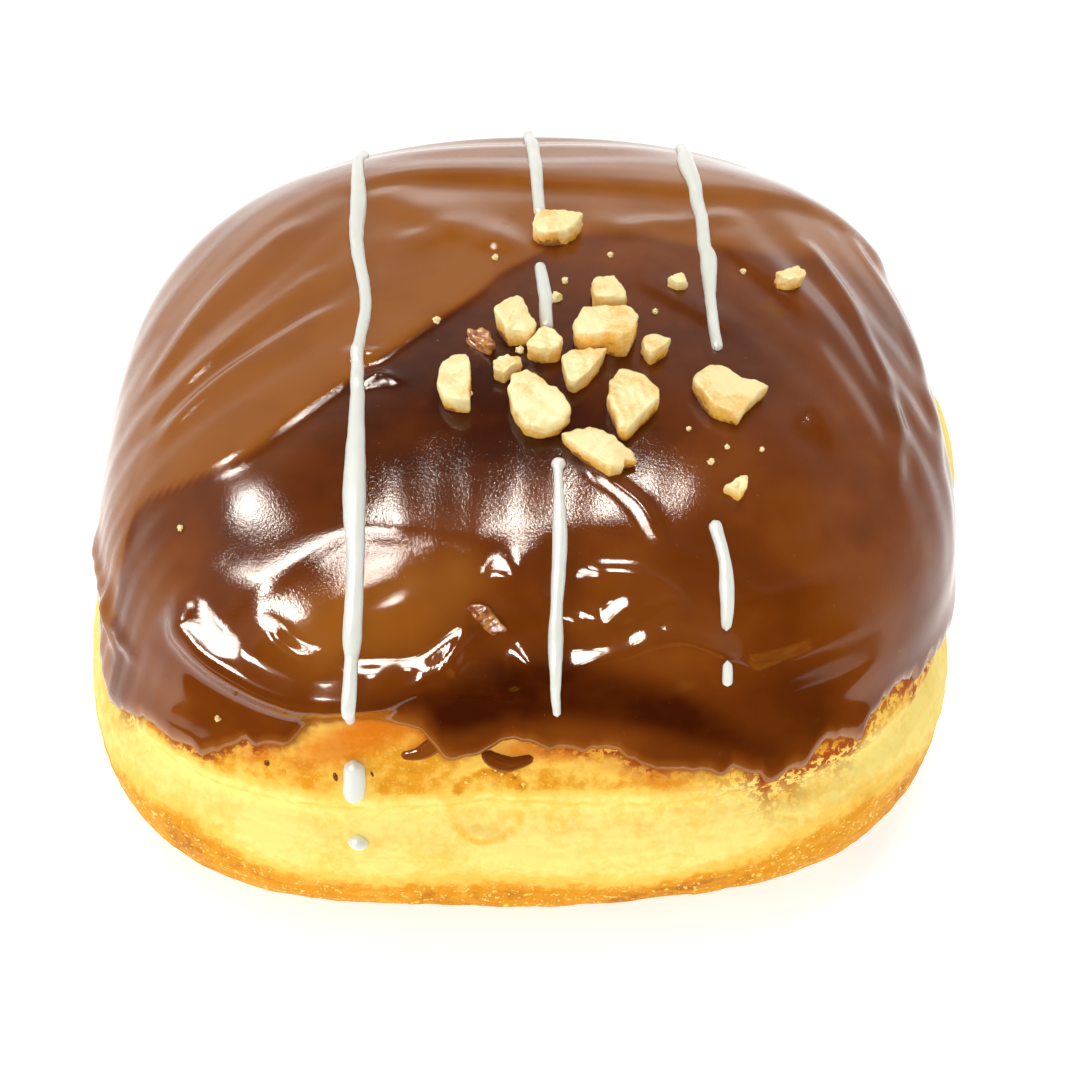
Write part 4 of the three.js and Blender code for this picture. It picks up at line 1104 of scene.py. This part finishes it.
ICING_COLUMNS = 420
ICING_RINGS = 200
FRONT_CROWDING = 0.5  # how much closer the columns stand at the front than at the back
EDGE_CROWDING = 1.25  # and the rings near the edge than at the crown
RAGGED_FROM = 0.93  # the share of the way down from which the rings follow the ragged edge
ICING_SUNK = 0.1  # how far the top lies under the height that the drizzle and nuts are laid by
ICING_UNDERSIDE = (0.985, 0.8, 0.5, 0.2, 0.0)  # rings under the dough's skin, as shares of the edge
UNDERSIDE_DEPTH = 0.5
LIP_REFLECTION_REACH = 2.6  # how far in from its edge the icing is painted pale, a painted reflection of the floor
# how pale that painted reflection makes it
LIP_REFLECTION_TONE = 0.95


def make_icing(material):
    """The cap: its top with every fold, rolled over its edge and back under it on the dough."""
    share = np.arange(ICING_COLUMNS) / ICING_COLUMNS
    turn = 2 * np.pi * share - FRONT_CROWDING * np.cos(2 * np.pi * share)
    edge = ragged_edge(turn)
    rings, tone, wet = [], [], []
    for k in range(ICING_RINGS + 1):
        reached = 1 - (1 - k / ICING_RINGS) ** EDGE_CROWDING
        smooth_fall = icing_edge(turn) * reached
        ragged = smooth_step((reached - RAGGED_FROM) / (1 - RAGGED_FROM))
        fall = smooth_fall + (edge - icing_edge(turn)) * ragged
        right, back = fall * np.cos(turn), fall * np.sin(turn)
        rings.append(on_skin(right, back, icing_top(turn, smooth_fall) - ICING_SUNK))
        # a painted reflection of the floor makes the icing pale near its edge
        lip = np.exp(-(((edge - fall) / LIP_REFLECTION_REACH) ** 2))
        tone.append(np.maximum(tone_and_painted_reflection(right, back), LIP_REFLECTION_TONE * lip))
        wet.append(wet_share(right, back))
    for inner in ICING_UNDERSIDE:
        fall = edge * inner
        right, back = fall * np.cos(turn), fall * np.sin(turn)
        rings.append(on_skin(right, back, np.full(turn.shape, -UNDERSIDE_DEPTH)))
        tone.append(np.zeros(turn.shape))
        wet.append(np.zeros(turn.shape))
    points, faces = closed_rings(rings)
    icing = mesh_object("chocolate_icing_cap", points, faces)
    for name, values in (("tone", tone), ("wet", wet)):
        paint(icing, name, with_poles(values))
    icing.data.materials.append(material)
    return finish_piece(icing, "chocolate_icing", "chocolate_icing")


LOBE_EDGE = 1.2  # how sharply the pale lobe ends along the long fold
LOBE_END, LOBE_FADE = 4, 6  # how far to the right it reaches
BACK_FROM = 8  # millimetres behind the crown, where the pale back begins, milky colour and painted reflection of the sweep


def tone_and_painted_reflection(right, back):
    """How pale the icing looks: pale on the lobe and at the back, partly milky colour and partly painted
    reflection of the bright sweep, and dark in the patches in front, partly painted reflection of the dark
    room.
    """
    signed, _ = nearest_on_line(fold_lines[LONG_FOLD][4], right, back)
    lobe = smooth_step(0.5 + signed / LOBE_EDGE) * smooth_step((LOBE_END - right) / LOBE_FADE)
    tone = np.full(np.shape(right), TONE_PLAIN)
    for middle, reach, value in TONE_AND_REFLECTION_PATCHES:
        tone = tone + (value - tone) * soft_patch(right, back, middle, reach)
    # the pale back, milky colour and painted reflection of the sweep, begins at a line that blurs towards
    # both sides
    blur = 4 + 0.6 * np.maximum(np.abs(right) - 22, 0)
    pale_back_and_reflection = smooth_step((back - BACK_FROM) / blur)
    return np.maximum(tone, np.maximum(lobe, pale_back_and_reflection))


WET_FROM = 33.5  # millimetres in front of the crown, where the wet folds begin
WET_FADE = 3


def wet_share(right, back):
    """The icing is wettest in its lower front folds."""
    return np.clip((-WET_FROM - back) / WET_FADE, 0, 1)


# ------------------------------------------------------------------ drizzle

STRING_STEPS = 24
DRIZZLE_STEP = 0.3  # between the points along a string
TIP_SHARE = 0.02  # the share of its width, squared, that a string still has at its very tips


def bead_curve(name, strings, carrier):
    """A curve with a string of points for each line of drizzle, lying on what carries it."""
    curve = bpy.data.curves.new(name, "CURVE")
    curve.dimensions = "3D"
    for string in strings:
        line = catmull_rom(string, STRING_STEPS)
        run = run_along(line[:, :2])
        count = max(8, int(run[-1] / DRIZZLE_STEP))
        at = np.linspace(0, run[-1], count)
        right, back, width = (np.interp(at, run, line[:, i]) for i in range(3))
        from_end = np.minimum(at, run[-1] - at)
        radius = width / 2
        round_off = np.sqrt(np.clip(1 - (1 - np.minimum(from_end / radius, 1)) ** 2, TIP_SHARE, 1))
        points = carrier(right, back, radius)
        spline = curve.splines.new("POLY")
        spline.points.add(count - 1)
        spline.points.foreach_set("co", np.column_stack([points * MM, np.ones(count)]).ravel())
        spline.points.foreach_set("radius", radius * round_off * MM)
    thing = bpy.data.objects.new(name, curve)
    bpy.context.scene.collection.objects.link(thing)
    return thing


def lay_beads(name, strings, carrier, material, slot, unevenness=0.03):
    """Beads of icing: a round section run along each string, a little uneven, as thick as it says."""
    beads = Geometry(name)
    sides = beads.asked("Sides", "Int", 14)
    uneven = beads.asked("Unevenness", "Float", unevenness * MM)
    lumps = beads.asked("Lump size", "Float", 2.4 * MM)
    section = beads.add("GeometryNodeCurvePrimitiveCircle", {"Resolution": sides, "Radius": 1.0})
    radius = beads.add("GeometryNodeInputRadius")
    tube = beads.add("GeometryNodeCurveToMesh", {
        "Curve": beads.group_input(), "Profile Curve": section, "Scale": radius, "Fill Caps": True})
    scale = beads.math("DIVIDE", 1.0, lumps)
    lump = beads.add("ShaderNodeTexNoise", {"Vector": beads.place(), "Scale": scale, "Detail": 1.0})
    height = beads.product(beads.mapped(lump, 0.3, 0.7, -1, 1), uneven)
    push = beads.scaled(beads.add("GeometryNodeInputNormal"), height)
    tube = beads.add("GeometryNodeSetPosition", {"Geometry": tube, "Offset": push})
    tube = beads.add("GeometryNodeSetShadeSmooth", {"Geometry": tube})
    base = bead_curve(name + "_strings", strings, carrier)
    return finish_piece(beads.make(base, tube, material, name), slot)


def half_sunk_in_icing(right, back, radius):
    return on_icing(right, back, 0.05)


def standing_on_dough(right, back, radius):
    return on_skin(right, back, dough_relief(*polar(right, back)) + 0.2 * radius)


def sunk_in_dough(right, back, radius):
    return on_skin(right, back, dough_relief(*polar(right, back)) - 0.2 * radius)


def make_drizzle(white, chocolate):
    """The white lines and drops, and the chocolate that dripped on the bare dough."""
    lay_beads("white_drizzle", DRIZZLE, half_sunk_in_icing, white, "white_icing")
    lay_beads("white_drops", DRIZZLE_DROPS, standing_on_dough, white, "white_icing")
    drips = lay_beads("chocolate_drips", CHOCOLATE_DRIPS, sunk_in_dough, chocolate, "chocolate_icing", 0.05)
    for name, value in (("tone", 0.55), ("wet", 1.0)):
        paint(drips, name, np.full(len(drips.data.vertices), value))


# ------------------------------------------------------------------ nuts

NUT_COLUMNS = 72
# The section of a broken nut from the middle of its top to the middle of its base: (share of the
# outline, share of the height).
NUT_SECTION = (
    [(share, 1.0) for share in np.linspace(0, 0.9, 13)]
    + [(0.94, 0.99), (0.97, 0.97), (0.99, 0.93), (1.0, 0.87), (1.01, 0.78), (1.0, 0.66), (0.99, 0.54)]
    + [(0.98, 0.42), (0.96, 0.3), (0.94, 0.18), (0.9, 0.06), (0.8, 0.0), (0.4, 0.0), (0, 0.0)]
)
NUT_TOAST_TOP = 0.12  # how golden its top is
NUT_TOAST_AND_SHADE_SIDE = 1.15  # and how much more golden and darker it gets down to its base, partly roasted colour and partly painted shade
NUT_BREAKS = 3  # flat breaks that cut off parts of the top
NUT_LUMPS = (0.22, 0.3, 0.4, 0.5, 0.7, 1, 1, 1.5, 2)  # the sizes of the lumps of its broken faces
NUT_SEED = 20
FLAKE_SEED = 60


def spread_round(outline, count):
    """Points at even steps round a closed outline, with its corners a little worn."""
    closed = np.array([*outline, outline[0]], float)
    run = run_along(closed)
    at = np.linspace(0, run[-1], count, endpoint=False)
    points = np.column_stack([np.interp(at, run, closed[:, axis]) for axis in (0, 1)])
    return (np.roll(points, 1, 0) + 4 * points + np.roll(points, -1, 0)) / 6


def nut_rings(height, slope, outline, seed, rough):
    """The rings of a nut lying on the flat, from the middle of its top, and how golden each of them is,
    partly roasted colour and partly painted shade towards its base.
    """
    draw = np.random.default_rng(seed)
    edge = spread_round(outline, NUT_COLUMNS)
    size = float(np.mean(np.hypot(*edge.T)))
    breaks = []
    for _ in range(NUT_BREAKS):
        way, tilt, reach = draw.uniform(0, 2 * np.pi), draw.uniform(0.15, 0.4), draw.uniform(0.45, 0.9)
        breaks.append((tilt * math.cos(way), tilt * math.sin(way), size * reach * tilt))

    rings, toast = [], []
    for share, level in NUT_SECTION:
        x, y = edge[:, 0] * share, edge[:, 1] * share
        z = height + slope[0] * x + slope[1] * y
        for tilt_x, tilt_y, rise in breaks:
            z = np.minimum(z, height + rise - tilt_x * x - tilt_y * y)
        rings.append(np.column_stack([x, y, z * level]))
        toast.append(np.full(NUT_COLUMNS, NUT_TOAST_TOP + NUT_TOAST_AND_SHADE_SIDE * (1 - level)))

    waves = []
    for lump in NUT_LUMPS:
        waves.append((draw.uniform(-1, 1, 3) * 3 / lump, draw.uniform(0, 6.28), min(lump, 0.7)))
    for ring in rings[1:-1]:
        bumpy = sum(swell * np.sin(ring @ way + phase) for way, phase, swell in waves) * rough
        ring += ring * (bumpy / size)[:, None]
    return rings, toast


def nut_mesh(name, at, height, slope, outline, seed, bed=0.5, rough=0.06):
    """One broken piece of nut, a chipped block with a few flat breaks, bedded in the icing."""
    rings, toast = nut_rings(height + bed, slope, outline, seed, rough)
    turn, fall = polar(*at)
    origin = on_icing(np.array([at[0]]), np.array([at[1]]), -bed)[0]
    up = skin_normal(np.array([turn]), np.array([fall]))[0]
    right = np.array([1.0, 0, 0]) - up * up[0]
    right /= np.linalg.norm(right)
    back = np.cross(up, right)
    points, faces = closed_rings([origin + ring @ np.array([right, back, up]) for ring in rings])
    nut = mesh_object(name, points, faces)
    paint(nut, "toast", with_poles(toast))
    return nut


def make_nuts(material, skin_material):
    """The chopped nuts and the two curled flakes of their skin."""
    for i, (name, at, height, slope, outline) in enumerate(NUTS):
        nut = nut_mesh(name + "_chopped", at, height, slope, outline, seed=NUT_SEED + i)
        nut.data.materials.append(material)
        finish_piece(nut, "nut", name)
    for i, (name, at, height, slope, outline) in enumerate(SKIN_FLAKES):
        flake = nut_mesh(name + "_curled", at, height, slope, outline, seed=FLAKE_SEED + i, rough=0.16)
        flake.data.materials.append(skin_material)
        finish_piece(flake, "nut_skin", name)


# ------------------------------------------------------------------ crumbs


def make_crumbs(material):
    """Crumbs from the chopping: small chips of nut at the listed places."""
    right, back, sizes = np.array(CRUMBS).T
    base = mesh_object("crumb_places", on_icing(right, back, 0.1), [])
    paint(base, "size", sizes * MM / 2)
    chips = Geometry("nut_crumbs")
    seed = chips.asked("Seed", "Int", 3)
    rough = chips.asked("Roughness", "Float", 0.55)
    chip = chips.add("GeometryNodeMeshIcoSphere", {"Radius": 1.0, "Subdivisions": 3})
    lumps = {"Vector": chips.place(), "Scale": 1.3, "Detail": 2.0}
    lump = chips.vectors("SUBTRACT", chips.add("ShaderNodeTexNoise", lumps, out="Color"), (0.5, 0.5, 0.5))
    push = chips.scaled(lump, chips.product(rough, 3.0))
    chip = chips.add("GeometryNodeSetPosition", {"Geometry": chip, "Offset": push})
    any_way = {0: (0, 0, 0), 1: (6.28, 6.28, 6.28), "Seed": seed}
    spin = chips.add("FunctionNodeRandomValue", any_way, data_type="FLOAT_VECTOR")
    size = chips.add("GeometryNodeInputNamedAttribute", {"Name": "size"}, data_type="FLOAT")
    placed = chips.add("GeometryNodeInstanceOnPoints", {
        "Points": chips.group_input(), "Instance": chip, "Rotation": spin, "Scale": size})
    crumbs = chips.make(base, placed, material, "nut_crumbs")
    finish_piece(crumbs, "nut")


# ------------------------------------------------------------------ the doughnut

bpy.context.scene.view_settings.view_transform = "Standard"
make_camera()
make_studio()
nut = nut_material()
chocolate = icing_material()
make_dough(dough_material())
make_icing(chocolate)
make_drizzle(white_icing_material(), chocolate)
make_nuts(nut, nut_skin_material())
make_crumbs(nut)
